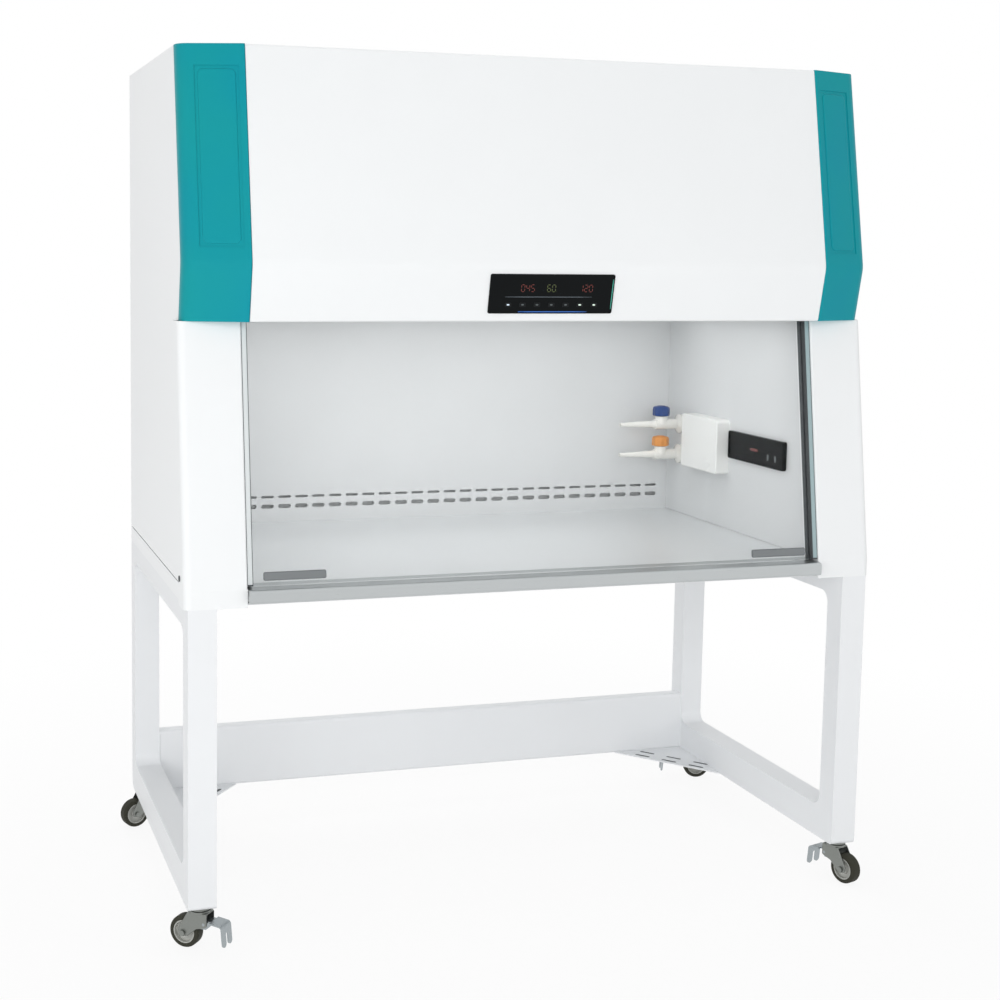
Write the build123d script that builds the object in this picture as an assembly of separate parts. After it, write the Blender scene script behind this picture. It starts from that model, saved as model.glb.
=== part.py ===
"""Vertical laminar flow hood on a castored stand.

Frame: +X right, +Y to the back, +Z up, millimetres.  The model is drawn with
y = 0 on the front plane of the foot caps and z = 0 on the floor, and is moved
along Y at the end so that the origin lies under the middle of the whole bench.
"""
from build123d import *
import math
import os

# ---------------------------------------------------------------- overall
cabinet_width = 1500.0        # over the front posts
skin_inset = 8.0              # side skins inside the post sides
cabinet_depth = 777.0         # foot cap front to rear skin
stand_height = 687.0          # floor to underside of the cabinet
cabinet_height = 1082.0       # base tray to roof
sheet = 2.0                   # folded steel sheet
over = 1.0                    # how far a cutting solid runs past the face it cuts
edge_break = 1.0              # small chamfer on machined and moulded edges

# ---------------------------------------------------------------- stand
leg_width = 57.0              # along X
leg_depth = 55.0              # along Y
frame_inset = 0.0             # side frame behind the foot cap plane
leg_clearance = 87.0          # floor to leg ends
bottom_rail_height = 71.0
top_rail_height = 43.0
window_radius = 26.0
frame_corner_radius = 30.0
crossbar_height = 146.0
crossbar_depth = 30.0
crossbar_radius = 8.0
gusset_reach_x = 186.0
gusset_reach_y = 222.0
gusset_thickness = 3.0
gusset_slot_length = 40.0
gusset_slot_width = 9.0
gusset_slot_pairs = 3
gusset_pair_pitch = 73.0
gusset_row_gap = 30.0
gusset_edge = 14.0            # hypotenuse to the outer slot row

# ---------------------------------------------------------------- casters
wheel_radius = 32.5
wheel_width = 25.0
tyre_thickness = 9.0
tyre_round = 5.0
hub_web_half = 4.2
hub_step = 1.0                # rim set in from the boss ends
axle_radius = 4.0
running_gap = 0.1
caster_trail = 30.0
fork_gap = 2.2                # wheel side to fork arm
fork_sheet = 2.5
fork_corner = 5.0
fork_plate_radius = 21.0
fork_plate_height = 5.0
swivel_gap = 0.4
cup_height = 6.0
kingpin_radius = 5.0
kingpin_head_radius = 9.0
kingpin_head_height = 2.2
stem_radius = 6.0
stem_length = 28.0
pedal_pivot_x = -17.0         # from the swivel axis, away from the wheel
pedal_pivot_z = 57.0
pedal_reach = 63.0
pedal_sheet = 3.0
pedal_width = 38.0
pedal_inner_width = 24.0      # between the fork arms
pedal_toe_height = 17.0
pedal_toe_slot = 8.0
pedal_slot_top = 40.0
pedal_lean = 4.0
pedal_shoulder_z = 60.0
pedal_crown_x = -31.0
pedal_round = 8.0
pedal_pin_radius = 3.0
pedal_boss_radius = 6.0
pedal_shoe_reach = 9.0
pedal_shoe_drop = 12.0
bolt_head_radius = 6.5
bolt_head_height = 4.0
caster_angles = {"fl": 140.0, "fr": -72.0, "bl": 197.0, "br": -17.0}

# ---------------------------------------------------------------- base, deck
base_band_height = 36.0       # foot cap height, also the base tray height
tray_front = 24.0
lip_reach = 12.7              # deck nose in front of the foot caps
lip_height = 27.5
lip_radius = 6.0
lip_return = 22.0
post_joint = 1.0              # deck edge behind the sill and the posts
post_width = 125.0            # post and foot cap along X

# ---------------------------------------------------------------- front
hood_bottom = 551.0           # above the cabinet underside
hood_crease = 664.0
hood_bottom_y = 29.0
hood_crease_y = 5.0
hood_top_y = 83.0
trim_lap = 8.0                # trim edge inside the post
hood_flange = 45.0            # lower return of the hood panel
hood_top_round = 6.0
hood_crease_round = 50.0
hood_bottom_round = 5.0
roof_start = 160.0            # roof panel front edge
seam = 0.5                    # joint line between neighbouring skins

trim_proud = 3.0
trim_skin = 4.0
trim_sweep = 46.0             # how far the slanted face falls back
trim_round = 32.0
trim_inner_round = 3.0
trim_inner_return = 20.0
trim_cap = 3.0
trim_panel_margin = 14.0
trim_panel_depth = 1.6
trim_panel_low = 30.0         # above the crease
trim_panel_high = 42.0        # below the roof

post_lean = 74.0              # set-back of the post front at the hood
post_return = 60.0
post_round = 15.0
post_inner_round = 4.0
post_flange_round = 3.0
plug_radius = 6.0
plug_thickness = 2.0
plug_y = 47.0
plug_z = 54.0                 # above the cabinet underside

# ---------------------------------------------------------------- sash
sash_offset = 17.0            # glass front behind the post front
glass_thickness = 6.0
glass_lift = 1.6              # lower glass edge above the foot cap level
glass_overlap = 30.0          # glass above the hood edge when lowered
guide_width = 12.0            # along X
guide_depth = 30.0            # across the glass
guide_slot = 7.2
guide_slot_depth = 9.0
glass_side_gap = 1.0
guide_foot = 2.8              # guide end above the foot cap level
guide_top_gap = 22.0          # guide end to the roof
handle_length = 126.0
handle_inset = 95.0           # handle middle to the post
handle_height = 21.0          # above the deck
handle_bar_height = 17.0
handle_bar_depth = 9.0
handle_bar_round = 3.5
handle_standoff = 9.0         # finger gap between bar and glass
handle_foot = 15.0            # along X
handle_foot_height = 15.0

# ---------------------------------------------------------------- chamber
wall_inset = 7.0              # chamber wall outside the post's inner face
back_wall_gap = 33.0          # chamber back wall to the rear skin
ceiling = 558.0               # diffuser above the cabinet underside
wall_setback = 38.0           # side wall edge behind the post front
slot_pitch = 42.0
slot_margin = 20.0            # side wall to the first slot
slot_length = 31.0
slot_rows = ((74.0, 10.0), (97.0, 6.0))   # centre height and width of each row
ceiling_front = 190.0
diffuser_slot_pitch_x = 60.0
diffuser_slot_pitch_y = 34.0
diffuser_slot_width = 14.0
diffuser_bar = 16.0
trough_front = 112.0
trough_height = 46.0
trough_round = 5.0
tube_radius = 13.0
tube_pin = 6.0
tube_pin_radius = 4.3
tube_y = (134.0, 166.0)
tube_end_gap = 33.0           # tube end to the side wall
uv_tube_length = 894.0
tube_drop = 26.0              # tube axis below the trough top
holder_size = 22.0

# ---------------------------------------------------------------- air path
filter_side_gap = 12.0        # filter to the chamber walls
filter_front_gap = 5.0
filter_back_gap = 9.0
filter_height = 69.0
filter_frame = 15.0
pleat_pitch = 40.0
pleat_depth = 6.0
plenum_height = 80.0
outlet_width = 110.0
impeller_radius = 95.0
impeller_width = 150.0
impeller_blades = 24
blade_depth = 18.0
blade_thickness = 1.6
blade_angle = 35.0
blower_axis_height = 175.0    # above the plenum top
blower_y = 465.0
volute_start = 108.0
volute_end = 158.0
blower_inner_width = 166.0
inlet_radius = 80.0
motor_radius = 46.0
motor_length = 70.0
shaft_radius = 8.0
bracket_bar = 14.0
roof_opening_x = 900.0
roof_opening_y = 360.0
roof_opening_centre = 450.0
louvre_count = 11
louvre_depth = 14.0
louvre_thickness = 2.0
louvre_angle = 35.0
grille_frame = 22.0
grille_height = 12.0
prefilter_height = 20.0

# ---------------------------------------------------------------- controls
display_width = 269.0
display_height = 81.0
display_thickness = 6.0
display_round = 4.0
display_rim = 4.0
key_count = 7
key_width = 14.0
key_height = 9.0
key_round = 2.0
key_pitch = 31.0
key_drop = 22.0               # key row below the display middle
key_proud = 0.6
service_box_gap = 71.0        # service box to the cocks
service_panel_length = 249.0
service_panel_height = 65.0
service_panel_z = 242.0       # middle, above the cabinet underside
service_panel_thickness = 10.0
service_panel_round = 5.0
service_bezel = 5.0
service_recess = 2.0
service_gap = 12.0
service_box_length = 180.0
service_box_height = 130.0
service_box_depth = 34.0
service_box_z = 232.0
service_box_round = 9.0
cock_back_gap = 72.0          # cocks to the back wall
cock_heights = (262.0, 186.0)
cock_flange_radius = 24.0
cock_flange_height = 7.0
cock_body_radius = 13.0
cock_body_length = 72.0
cock_boss = 55.0              # wall to the valve stem
cock_boss_radius = 15.0
cock_boss_height = 20.0
cock_nozzle_length = 95.0
cock_tip_radius = 5.0
cock_bore_radius = 3.0
cock_barbs = 4
cock_barb_radius = 10.0
cock_barb_step = 1.5
cock_stem_radius = 4.0
knob_radius = 27.0
knob_height = 26.0
knob_gap = 1.0
knob_lobes = 8
knob_lobe_radius = 5.0
knob_round = 2.0

# ---------------------------------------------------------------- derived
roof_z = stand_height + cabinet_height
base_z = stand_height
deck_z = base_z + base_band_height - seam
hood_z = base_z + hood_bottom
crease_z = base_z + hood_crease
ceiling_z = base_z + ceiling
post_half = cabinet_width / 2
skin_half = post_half - skin_inset
frame_half = skin_half
opening_half = post_half - post_width
hood_half = opening_half - trim_lap
wall_half = opening_half + wall_inset
back_wall_y = cabinet_depth - back_wall_gap
slot_count = int((2 * wall_half - 2 * slot_margin) // slot_pitch)
handle_centre = opening_half - handle_inset
tube_lengths = (2 * (wall_half - tube_end_gap), uv_tube_length)
filter_half = wall_half - filter_side_gap
filter_front = ceiling_front + filter_front_gap
filter_back = back_wall_y - filter_back_gap
cock_y = back_wall_y - cock_back_gap
service_box_y = cock_y - service_box_gap - service_box_length / 2
service_panel_back = service_box_y - service_box_length / 2 - service_gap
post_slope = post_lean / (hood_bottom - base_band_height)
sash_angle = math.atan(post_slope)
glass_half = opening_half - guide_width + guide_slot_depth - glass_side_gap
bevel_length = math.hypot(hood_bottom_y - hood_crease_y, hood_crease - hood_bottom)
filter_z = ceiling_z + sheet
plenum_z = filter_z + filter_height
plenum_top = plenum_z + plenum_height
blower_z = plenum_top + blower_axis_height
leg_centre_x = frame_half - leg_width / 2
caster_y = {"f": frame_inset + leg_depth / 2, "b": cabinet_depth - leg_depth / 2}
crossbar_y = cabinet_depth - leg_depth
gusset_z = leg_clearance


# ---------------------------------------------------------------- helpers
def block(x0, x1, y0, y1, z0, z1):
    """Box between two corners."""
    middle = ((x0 + x1) / 2, (y0 + y1) / 2, (z0 + z1) / 2)
    return Pos(*middle) * Box(abs(x1 - x0), abs(y1 - y0), abs(z1 - z0))


def side_face(points):
    """Face of a closed outline of (y, z) points in the plane x = 0."""
    wire = Wire.make_polygon([Vector(0, y, z) for y, z in points], close=True)
    return Face(wire)


def side_prism(points, x0, x1):
    """Outline of (y, z) points carried from x0 to x1."""
    return Pos(x0, 0, 0) * Solid.extrude(side_face(points), Vector(x1 - x0, 0, 0))


def plan_prism(face, start, end):
    """Plan section carried from one (y, z) to another, both its own shift."""
    (y0, z0), (y1, z1) = start, end
    return Solid.extrude(Pos(0, y0, z0) * face, Vector(0, y1 - y0, z1 - z0))


def folded(points, radii, thickness, side):
    """Plan face of a folded sheet that follows (x, y) points."""
    path = FilletPolyline(*points, radius=radii)
    wire = Wire(path.edges())
    return Face(wire.offset_2d(thickness, side=side))


def folded_sheet(points, radii, thickness, side, x0, x1):
    """Sheet from x0 to x1 whose outer face follows (y, z) points with rounded folds."""
    path = FilletPolyline(*[(0, y, z) for y, z in points], radius=radii)
    face = Face(Wire(path.edges()).offset_2d(thickness, side=side))
    return Pos(x0, 0, 0) * Solid.extrude(face, Vector(x1 - x0, 0, 0))


def cylinder_x(radius, x0, x1, y, z):
    """Cylinder along X."""
    return Pos((x0 + x1) / 2, y, z) * Rot(0, 90, 0) * Cylinder(radius, abs(x1 - x0))


def cylinder_y(radius, x, y0, y1, z):
    """Cylinder along Y."""
    return Pos(x, (y0 + y1) / 2, z) * Rot(90, 0, 0) * Cylinder(radius, abs(y1 - y0))


def cylinder_z(radius, x, y, z0, z1):
    """Cylinder along Z."""
    return Pos(x, y, (z0 + z1) / 2) * Cylinder(radius, abs(z1 - z0))


def mirrored(shape):
    """The same shape on the other side of the middle plane."""
    return mirror(shape, about=Plane.YZ)


def post_front(z):
    """Y of the post front face at a height."""
    return post_slope * (z - base_z - base_band_height)


def sash_plane():
    """Glass front: x across, y up the slope, z towards the user."""
    normal = (0, -math.cos(sash_angle), math.sin(sash_angle))
    return Plane(origin=(0, sash_offset, base_z + base_band_height), x_dir=(1, 0, 0), z_dir=normal)


def bevel_plane():
    """Middle of the lower bevel: x across, z out of the hood."""
    run = (hood_crease_y - hood_bottom_y) / bevel_length
    rise = (hood_crease - hood_bottom) / bevel_length
    middle = ((hood_bottom_y + hood_crease_y) / 2, (hood_z + crease_z) / 2)
    return Plane(origin=(0, *middle), x_dir=(1, 0, 0), z_dir=(0, -rise, run))


# ---------------------------------------------------------------- stand
def stand_frame_right():
    """Welded side frame: two legs, a top rail and a bottom rail."""
    front, back = frame_inset, cabinet_depth
    low, high = leg_clearance, stand_height
    frame = block(frame_half - leg_width, frame_half, front, back, low, high)
    frame = fillet(edge_along_x(frame, back, low), frame_corner_radius)
    frame = fillet(edge_along_x(frame, front, low), crossbar_radius)
    window = block(frame_half - 2 * leg_width, frame_half + leg_width,
                   front + leg_depth, back - leg_depth,
                   low + bottom_rail_height, high - top_rail_height)
    window = fillet(window.edges().filter_by(Axis.X), window_radius)
    holes = [cylinder_z(stem_radius, leg_centre_x, y, low - over, low + stem_length)
             for y in caster_y.values()]
    return frame - window - holes


def edge_along_x(shape, y, z):
    """The edge of a shape that runs along X at one (y, z)."""
    edges = shape.edges().filter_by(Axis.X)
    return min(edges, key=lambda e: math.hypot(e.center().Y - y, e.center().Z - z))


def rear_crossbar():
    """Folded channel between the rear legs, open at the back."""
    half = frame_half - leg_width
    bar = block(-half, half, crossbar_y, crossbar_y + crossbar_depth,
                leg_clearance, leg_clearance + crossbar_height)
    front = bar.faces().sort_by(Axis.Y)[0]
    bar = fillet(front.edges().filter_by(Axis.X), crossbar_radius)
    inner = block(-half - over, half + over, crossbar_y + sheet, crossbar_y + 2 * crossbar_depth,
                  leg_clearance + sheet, leg_clearance + crossbar_height - sheet)
    inner = fillet(inner.faces().sort_by(Axis.Y)[0].edges().filter_by(Axis.X),
                   crossbar_radius - sheet)
    return bar - inner


def gusset_right():
    """Slotted triangular plate in the rear lower corner of the stand."""
    corner_x = frame_half - leg_width
    outline = [(corner_x, crossbar_y), (corner_x - gusset_reach_x, crossbar_y),
               (corner_x, crossbar_y - gusset_reach_y)]
    face = Face(Wire.make_polygon([Vector(x, y, gusset_z) for x, y in outline], close=True))
    plate = Solid.extrude(face, Vector(0, 0, gusset_thickness))
    angle = math.degrees(math.atan2(gusset_reach_y, gusset_reach_x))
    middle = (corner_x - gusset_reach_x / 2, crossbar_y - gusset_reach_y / 2)
    slot = extrude(SlotOverall(gusset_slot_length, gusset_slot_width),
                   amount=2 * gusset_thickness, both=True)
    first = -(gusset_slot_pairs - 1) / 2 * gusset_pair_pitch
    for row in range(2):
        inward = gusset_edge + row * gusset_row_gap
        for pair in range(gusset_slot_pairs):
            along = first + pair * gusset_pair_pitch
            place = Pos(middle[0], middle[1], gusset_z) * Rot(0, 0, -angle)
            plate -= place * Pos(along, inward, 0) * slot
    return plate


# ---------------------------------------------------------------- casters
def caster_place(name):
    """Swivel axis on the floor, x pointing along the trail."""
    x = leg_centre_x if name.endswith("r") else -leg_centre_x
    return Pos(x, caster_y[name[0]], 0) * Rot(0, 0, caster_angles[name])


def caster_stem():
    """Stem in the leg, bearing cup and riveted kingpin in one piece."""
    plate_top = leg_clearance - cup_height - swivel_gap
    head_top = plate_top - fork_plate_height - swivel_gap
    stem = cylinder_z(stem_radius, 0, 0, leg_clearance, leg_clearance + stem_length)
    cup = cylinder_z(fork_plate_radius, 0, 0, leg_clearance - cup_height, leg_clearance)
    pin = cylinder_z(kingpin_radius, 0, 0, head_top - kingpin_head_height, leg_clearance)
    head = cylinder_z(kingpin_head_radius, 0, 0, head_top - kingpin_head_height, head_top)
    cup = fillet(cup.edges().sort_by(Axis.Z)[0], cup_height / 2)
    return stem + cup + pin + head


def fork_outline():
    """Fork arm seen from the side: (x, z) points round the arm."""
    top = leg_clearance - cup_height - swivel_gap - fork_plate_height / 2
    rear = caster_trail + bolt_head_radius + fork_sheet
    return [(pedal_pivot_x - bolt_head_radius, pedal_pivot_z - bolt_head_radius),
            (pedal_pivot_x - bolt_head_radius, top), (fork_plate_radius - fork_sheet, top),
            (rear + fork_sheet, wheel_radius + bolt_head_radius),
            (rear, wheel_radius - bolt_head_radius),
            (caster_trail - bolt_head_radius - fork_sheet, wheel_radius - bolt_head_radius),
            (0.0, pedal_pivot_z - 2 * bolt_head_radius)]


def caster_fork():
    """Pressed channel with two arms, its swivel disc, and the wheel bolt with head and nut."""
    plate_top = leg_clearance - cup_height - swivel_gap
    plate = cylinder_z(fork_plate_radius, 0, 0, plate_top - fork_plate_height, plate_top)
    inner = wheel_width / 2 + fork_gap
    outer = inner + fork_sheet
    points = [Vector(x, -outer, z) for x, z in fork_outline()]
    fork = Solid.extrude(Face(Wire.make_polygon(points, close=True)), Vector(0, 2 * outer, 0))
    fork = fillet(fork.edges().filter_by(Axis.Y), fork_corner)
    top_edges = fork.faces().sort_by(Axis.Z)[-1].edges().filter_by(Axis.X)
    fork = fillet(top_edges, fork_sheet)
    fork -= block(-pedal_reach, 2 * wheel_radius, -inner, inner, 0, plate_top - fork_plate_height)
    fork += plate
    fork -= cylinder_z(kingpin_radius + running_gap, 0, 0, 0, leg_clearance)
    fork -= cylinder_y(axle_radius, caster_trail, -wheel_width, wheel_width, wheel_radius)
    fork -= cylinder_y(pedal_pin_radius + running_gap, pedal_pivot_x, -wheel_width,
                       wheel_width, pedal_pivot_z)
    reach = inner + fork_sheet
    bolt = cylinder_y(axle_radius, caster_trail, -reach, reach, wheel_radius)
    for end in (-1, 1):
        head = extrude(RegularPolygon(bolt_head_radius, 6), amount=bolt_head_height)
        facing = Rot(-90 * end, 0, 0)
        bolt += Pos(caster_trail, end * reach, wheel_radius) * facing * head
    return Compound([fork, bolt])


def wheel_ring(outer, inner, half, rounding):
    """Ring about the wheel axle with rounded outer shoulders."""
    ring = Rectangle(outer - inner, 2 * half)
    corners = ring.vertices().sort_by(Axis.X)[-2:]
    section = Pos((outer + inner) / 2, 0, 0) * fillet(corners, rounding)
    body = revolve(section, Axis.Y)
    return Pos(caster_trail, 0, wheel_radius) * body


def caster_tyre():
    """Rubber tread."""
    return wheel_ring(wheel_radius, wheel_radius - tyre_thickness, wheel_width / 2, tyre_round)


def caster_hub():
    """Moulded wheel centre: rim, dished web and bored boss."""
    rim = wheel_radius - tyre_thickness
    half = wheel_width / 2
    boss = axle_radius + fork_sheet
    outline = [(axle_radius + running_gap, half), (boss + tyre_round, half),
               (boss + tyre_round, hub_web_half), (rim - fork_sheet, hub_web_half),
               (rim - fork_sheet, half - hub_step), (rim, half - hub_step)]
    outline += [(r, -w) for r, w in outline[::-1]]
    face = Face(Wire.make_polygon([Vector(r, w, 0) for r, w in outline], close=True))
    hub = revolve(face, Axis.Y)
    return Pos(caster_trail, 0, wheel_radius) * hub


def pedal_outline():
    """Brake pedal seen from the side: (x, z) of its upper skin, toe to crown."""
    toe = -pedal_reach
    crown = pedal_pivot_z + pedal_boss_radius
    return [(toe, pedal_toe_height), (toe + pedal_lean, pedal_shoulder_z), (pedal_crown_x, crown),
            (pedal_pivot_x + pedal_boss_radius, crown)]


def caster_pedal():
    """Pressed toe lever with two round lobes, hinged on a pin between the fork arms."""
    path = FilletPolyline(*[(x, 0, z) for x, z in pedal_outline()], radius=pedal_round)
    face = Face(Wire(path.edges()).offset_2d(pedal_sheet, side=Side.RIGHT))
    lever = Pos(0, -pedal_width / 2, 0) * Solid.extrude(face, Vector(0, pedal_width, 0))
    lobe = (pedal_width - pedal_toe_slot) / 2
    lobe_z = pedal_toe_height + lobe / 2
    centre = (pedal_width - lobe) / 2
    web = block(-pedal_reach - over, pedal_crown_x, -pedal_width / 2 - over,
                pedal_width / 2 + over, pedal_toe_height - lobe, lobe_z)
    web -= [cylinder_x(lobe / 2, -pedal_reach - over, pedal_crown_x, side * centre, lobe_z)
            for side in (-1, 1)]
    slot = Pos(-pedal_reach, 0, (lobe_z + pedal_slot_top) / 2) * Rot(0, 90, 0)
    slot = slot * extrude(SlotOverall(pedal_slot_top - lobe_z + pedal_toe_slot, pedal_toe_slot),
                          amount=3 * pedal_lean, both=True)
    wings = [block(pedal_crown_x, leg_width, side * pedal_inner_width / 2, side * pedal_width,
                   0, leg_clearance) for side in (-1, 1)]
    lever = lever - web - slot - wings
    boss = cylinder_y(pedal_boss_radius, pedal_pivot_x, -pedal_inner_width / 2,
                      pedal_inner_width / 2, pedal_pivot_z)
    reach = wheel_width / 2 + fork_gap + fork_sheet
    pin = cylinder_y(pedal_pin_radius, pedal_pivot_x, -reach, reach, pedal_pivot_z)
    shoe = block(pedal_pivot_x - pedal_pin_radius, pedal_pivot_x + pedal_shoe_reach,
                 -pedal_inner_width / 2, pedal_inner_width / 2,
                 pedal_pivot_z - pedal_shoe_drop, pedal_pivot_z)
    return lever + boss + pin + shoe


# ---------------------------------------------------------------- base
def base_tray():
    """Folded tray that closes the cabinet underneath, notched for the foot caps."""
    top = deck_z - sheet
    tray = block(-skin_half, skin_half, post_return, cabinet_depth, base_z, top)
    tray += block(-opening_half, opening_half, tray_front, post_return, base_z, top)
    hollow = block(-skin_half + sheet, skin_half - sheet, post_return + sheet,
                   cabinet_depth - sheet, base_z + sheet, top + over)
    hollow += block(-opening_half + sheet, opening_half - sheet, tray_front + sheet,
                    post_return + 2 * sheet, base_z + sheet, top + over)
    return tray - hollow


def front_sill():
    """Folded stainless sill under the sash: flat top, bull nose and lower return."""
    nose = -lip_reach
    points = [(post_return, deck_z), (nose, deck_z), (nose, deck_z - lip_height),
              (nose + lip_return, deck_z - lip_height)]
    half = opening_half - seam
    return folded_sheet(points, lip_radius, sheet, Side.RIGHT, -half, half)


def work_surface():
    """Flat stainless deck of the chamber, behind the sill."""
    return block(-wall_half, wall_half, post_return + post_joint, back_wall_y,
                 deck_z - sheet, deck_z)


def foot_cap_right():
    """Rounded cap under the post, level with the base tray."""
    cap = block(opening_half, post_half, 0, post_return, base_z, base_z + base_band_height)
    corner = cap.edges().filter_by(Axis.Z).sort_by(Axis.X)[-2:].sort_by(Axis.Y)[0]
    return fillet(corner, post_round)


# ---------------------------------------------------------------- skins
def side_panel_right():
    """Outer side skin, cut to the slope of the posts and the hood."""
    cover = post_return - sheet * 4
    wing = trim_sweep + trim_round
    points = [(cabinet_depth - sheet, base_z + base_band_height), (cabinet_depth - sheet, roof_z),
              (hood_top_y + wing, roof_z), (hood_crease_y + wing, crease_z),
              (hood_bottom_y + wing, hood_z), (post_front(hood_z) + cover, hood_z),
              (post_front(base_z + base_band_height) + cover, base_z + base_band_height)]
    return side_prism(points, skin_half - sheet, skin_half)


def rear_panel():
    """Rear skin."""
    return block(-skin_half, skin_half, cabinet_depth - sheet, cabinet_depth,
                 base_z + base_band_height, roof_z)


def roof_panel():
    """Roof skin with the air inlet opening."""
    roof = block(-skin_half + sheet, skin_half - sheet, roof_start, cabinet_depth - sheet,
                 roof_z - sheet, roof_z)
    hole = block(-roof_opening_x / 2, roof_opening_x / 2,
                 roof_opening_centre - roof_opening_y / 2,
                 roof_opening_centre + roof_opening_y / 2, roof_z - 2 * sheet, roof_z + sheet)
    return roof - hole


def hood_front():
    """Folded hood panel: roof return, slanted face, bevel and lower return."""
    points = [(roof_start, roof_z), (hood_top_y, roof_z), (hood_crease_y, crease_z),
              (hood_bottom_y, hood_z), (hood_bottom_y + hood_flange, hood_z)]
    half = hood_half - seam
    radii = [hood_top_round, hood_crease_round, hood_bottom_round]
    panel = folded_sheet(points, radii, sheet, Side.RIGHT, -half, half)
    window = Box(display_width - 2 * display_rim, display_height - 2 * display_rim, 8 * sheet)
    return panel - bevel_plane().location * window


def trim_points():
    """Plan outline of a side trim: inner return, slanted face, side return."""
    end = roof_start - hood_top_y
    return [(hood_half, trim_inner_return), (hood_half, -trim_proud),
            (skin_half, trim_sweep - trim_proud), (skin_half, end)]


def trim_solid_face():
    """Closed plan outline of a trim."""
    points = trim_points()
    path = FilletPolyline(*points, radius=[trim_inner_round, trim_round])
    back = Polyline(points[-1], (hood_half, points[-1][1]), points[0])
    return Face(Wire(path.edges() + back.edges()))


def trim_right():
    """Moulded teal trim beside the hood panel, closed at both ends."""
    skin = folded(trim_points(), [trim_inner_round, trim_round], trim_skin, Side.LEFT)
    solid = trim_solid_face()
    top, crease, bottom = (hood_top_y, roof_z), (hood_crease_y, crease_z), (hood_bottom_y, hood_z)
    bend = FilletPolyline(*[(0, y, z) for y, z in (bottom, crease, top)], radius=hood_crease_round)
    trim = sweep(Pos(0, *bottom) * skin, path=Wire(bend.edges()), normal=(0, 0, 1))
    trim += plan_prism(solid, on_front(roof_z - trim_cap), top)
    trim += plan_prism(solid, bottom, on_bevel(hood_z + trim_cap))
    pocket = block(hood_half - over, opening_half, hood_bottom_y + hood_flange, roof_start,
                   hood_z - over, hood_z + trim_cap + over)
    return trim - trim_recess() - pocket


def trim_recess():
    """Shallow rectangular panel in the slanted face of the trim."""
    points = trim_points()
    (x0, y0), (x1, y1) = points[1], points[2]
    length = math.hypot(x1 - x0, y1 - y0)
    ux, uy = (x1 - x0) / length, (y1 - y0) / length
    start, stop = trim_panel_margin, length - trim_round
    corners = [(start, -over), (stop, -over), (stop, trim_panel_depth), (start, trim_panel_depth)]
    outline = [Vector(x0 + ux * s - uy * d, y0 + uy * s + ux * d, 0) for s, d in corners]
    face = Face(Wire.make_polygon(outline, close=True))
    return plan_prism(face, on_front(crease_z + trim_panel_low),
                      on_front(roof_z - trim_panel_high))


def on_front(z):
    """(y, z) of the hood face at a height above the crease."""
    share = (z - crease_z) / (roof_z - crease_z)
    return (hood_crease_y + share * (hood_top_y - hood_crease_y), z)


def on_bevel(z):
    """(y, z) of the lower bevel at a height."""
    share = (z - hood_z) / (crease_z - hood_z)
    return (hood_bottom_y + share * (hood_crease_y - hood_bottom_y), z)


def post_right():
    """Folded front post beside the sash."""
    points = [(opening_half, post_return), (opening_half, 0), (post_half, 0),
              (post_half, post_return), (skin_half, post_return)]
    skin = folded(points, [post_inner_round, post_round, post_flange_round], sheet, Side.LEFT)
    foot = base_z + base_band_height
    return plan_prism(skin, (0, foot), (post_front(hood_z), hood_z))


def post_plug_right():
    """Screw cover on the outer side of the post."""
    plug = cylinder_x(plug_radius, post_half, post_half + plug_thickness, plug_y, base_z + plug_z)
    outer = plug.edges().filter_by(GeomType.CIRCLE).sort_by(Axis.X)[-1]
    return fillet(outer, plug_thickness / 2)


# ---------------------------------------------------------------- sash
def sash_glass():
    """Toughened pane that slides up behind the hood panel."""
    length = (hood_z + glass_overlap - deck_z - glass_lift) / math.cos(sash_angle)
    pane = block(-glass_half, glass_half, glass_lift, glass_lift + length, -glass_thickness, 0)
    pane = chamfer(pane.edges().filter_by(Axis.X), edge_break)
    return sash_plane().location * pane


def sash_handles():
    """Two pull bars with feet, clamped to the lower edge of the pane."""
    middle = handle_standoff + handle_bar_depth / 2
    bar = Pos(0, 0, middle) * Box(handle_length, handle_bar_height, handle_bar_depth)
    handle = fillet(bar.edges(), handle_bar_round)
    for end in (-1, 1):
        x = end * (handle_length / 2 - handle_foot)
        foot = Pos(x, 0, middle / 2) * Box(handle_foot, handle_foot_height, middle)
        handle += fillet(foot.edges().filter_by(Axis.Z), handle_bar_round)
    plane = sash_plane().location
    pair = [plane * Pos(side * handle_centre, handle_height, 0) * handle for side in (-1, 1)]
    return Compound([solid for item in pair for solid in item.solids()])


def sash_guide_right():
    """Slotted guide on the inner side of the post, up to the roof."""
    length = (roof_z - guide_top_gap - deck_z) / math.cos(sash_angle)
    inner = opening_half - guide_width
    middle = -glass_thickness / 2
    guide = block(inner, opening_half, guide_foot, length, middle - guide_depth / 2,
                  middle + guide_depth / 2)
    slot = block(inner - over, inner + guide_slot_depth, 0, length + over,
                 middle - guide_slot / 2, middle + guide_slot / 2)
    return sash_plane().location * (guide - slot)


# ---------------------------------------------------------------- chamber
def chamber_back_wall():
    """Rear wall with two rows of air slots above the deck."""
    wall = block(-wall_half, wall_half, back_wall_y, back_wall_y + sheet, deck_z, ceiling_z)
    first = -(slot_count - 1) / 2 * slot_pitch
    cuts = []
    for height, width in slot_rows:
        slot = extrude(SlotOverall(slot_length, width), amount=2 * sheet, both=True)
        upright = Rot(90, 0, 0) * slot
        for index in range(slot_count):
            x = first + index * slot_pitch
            cuts.append(Pos(x, back_wall_y, base_z + height) * upright)
    return wall - cuts


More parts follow.
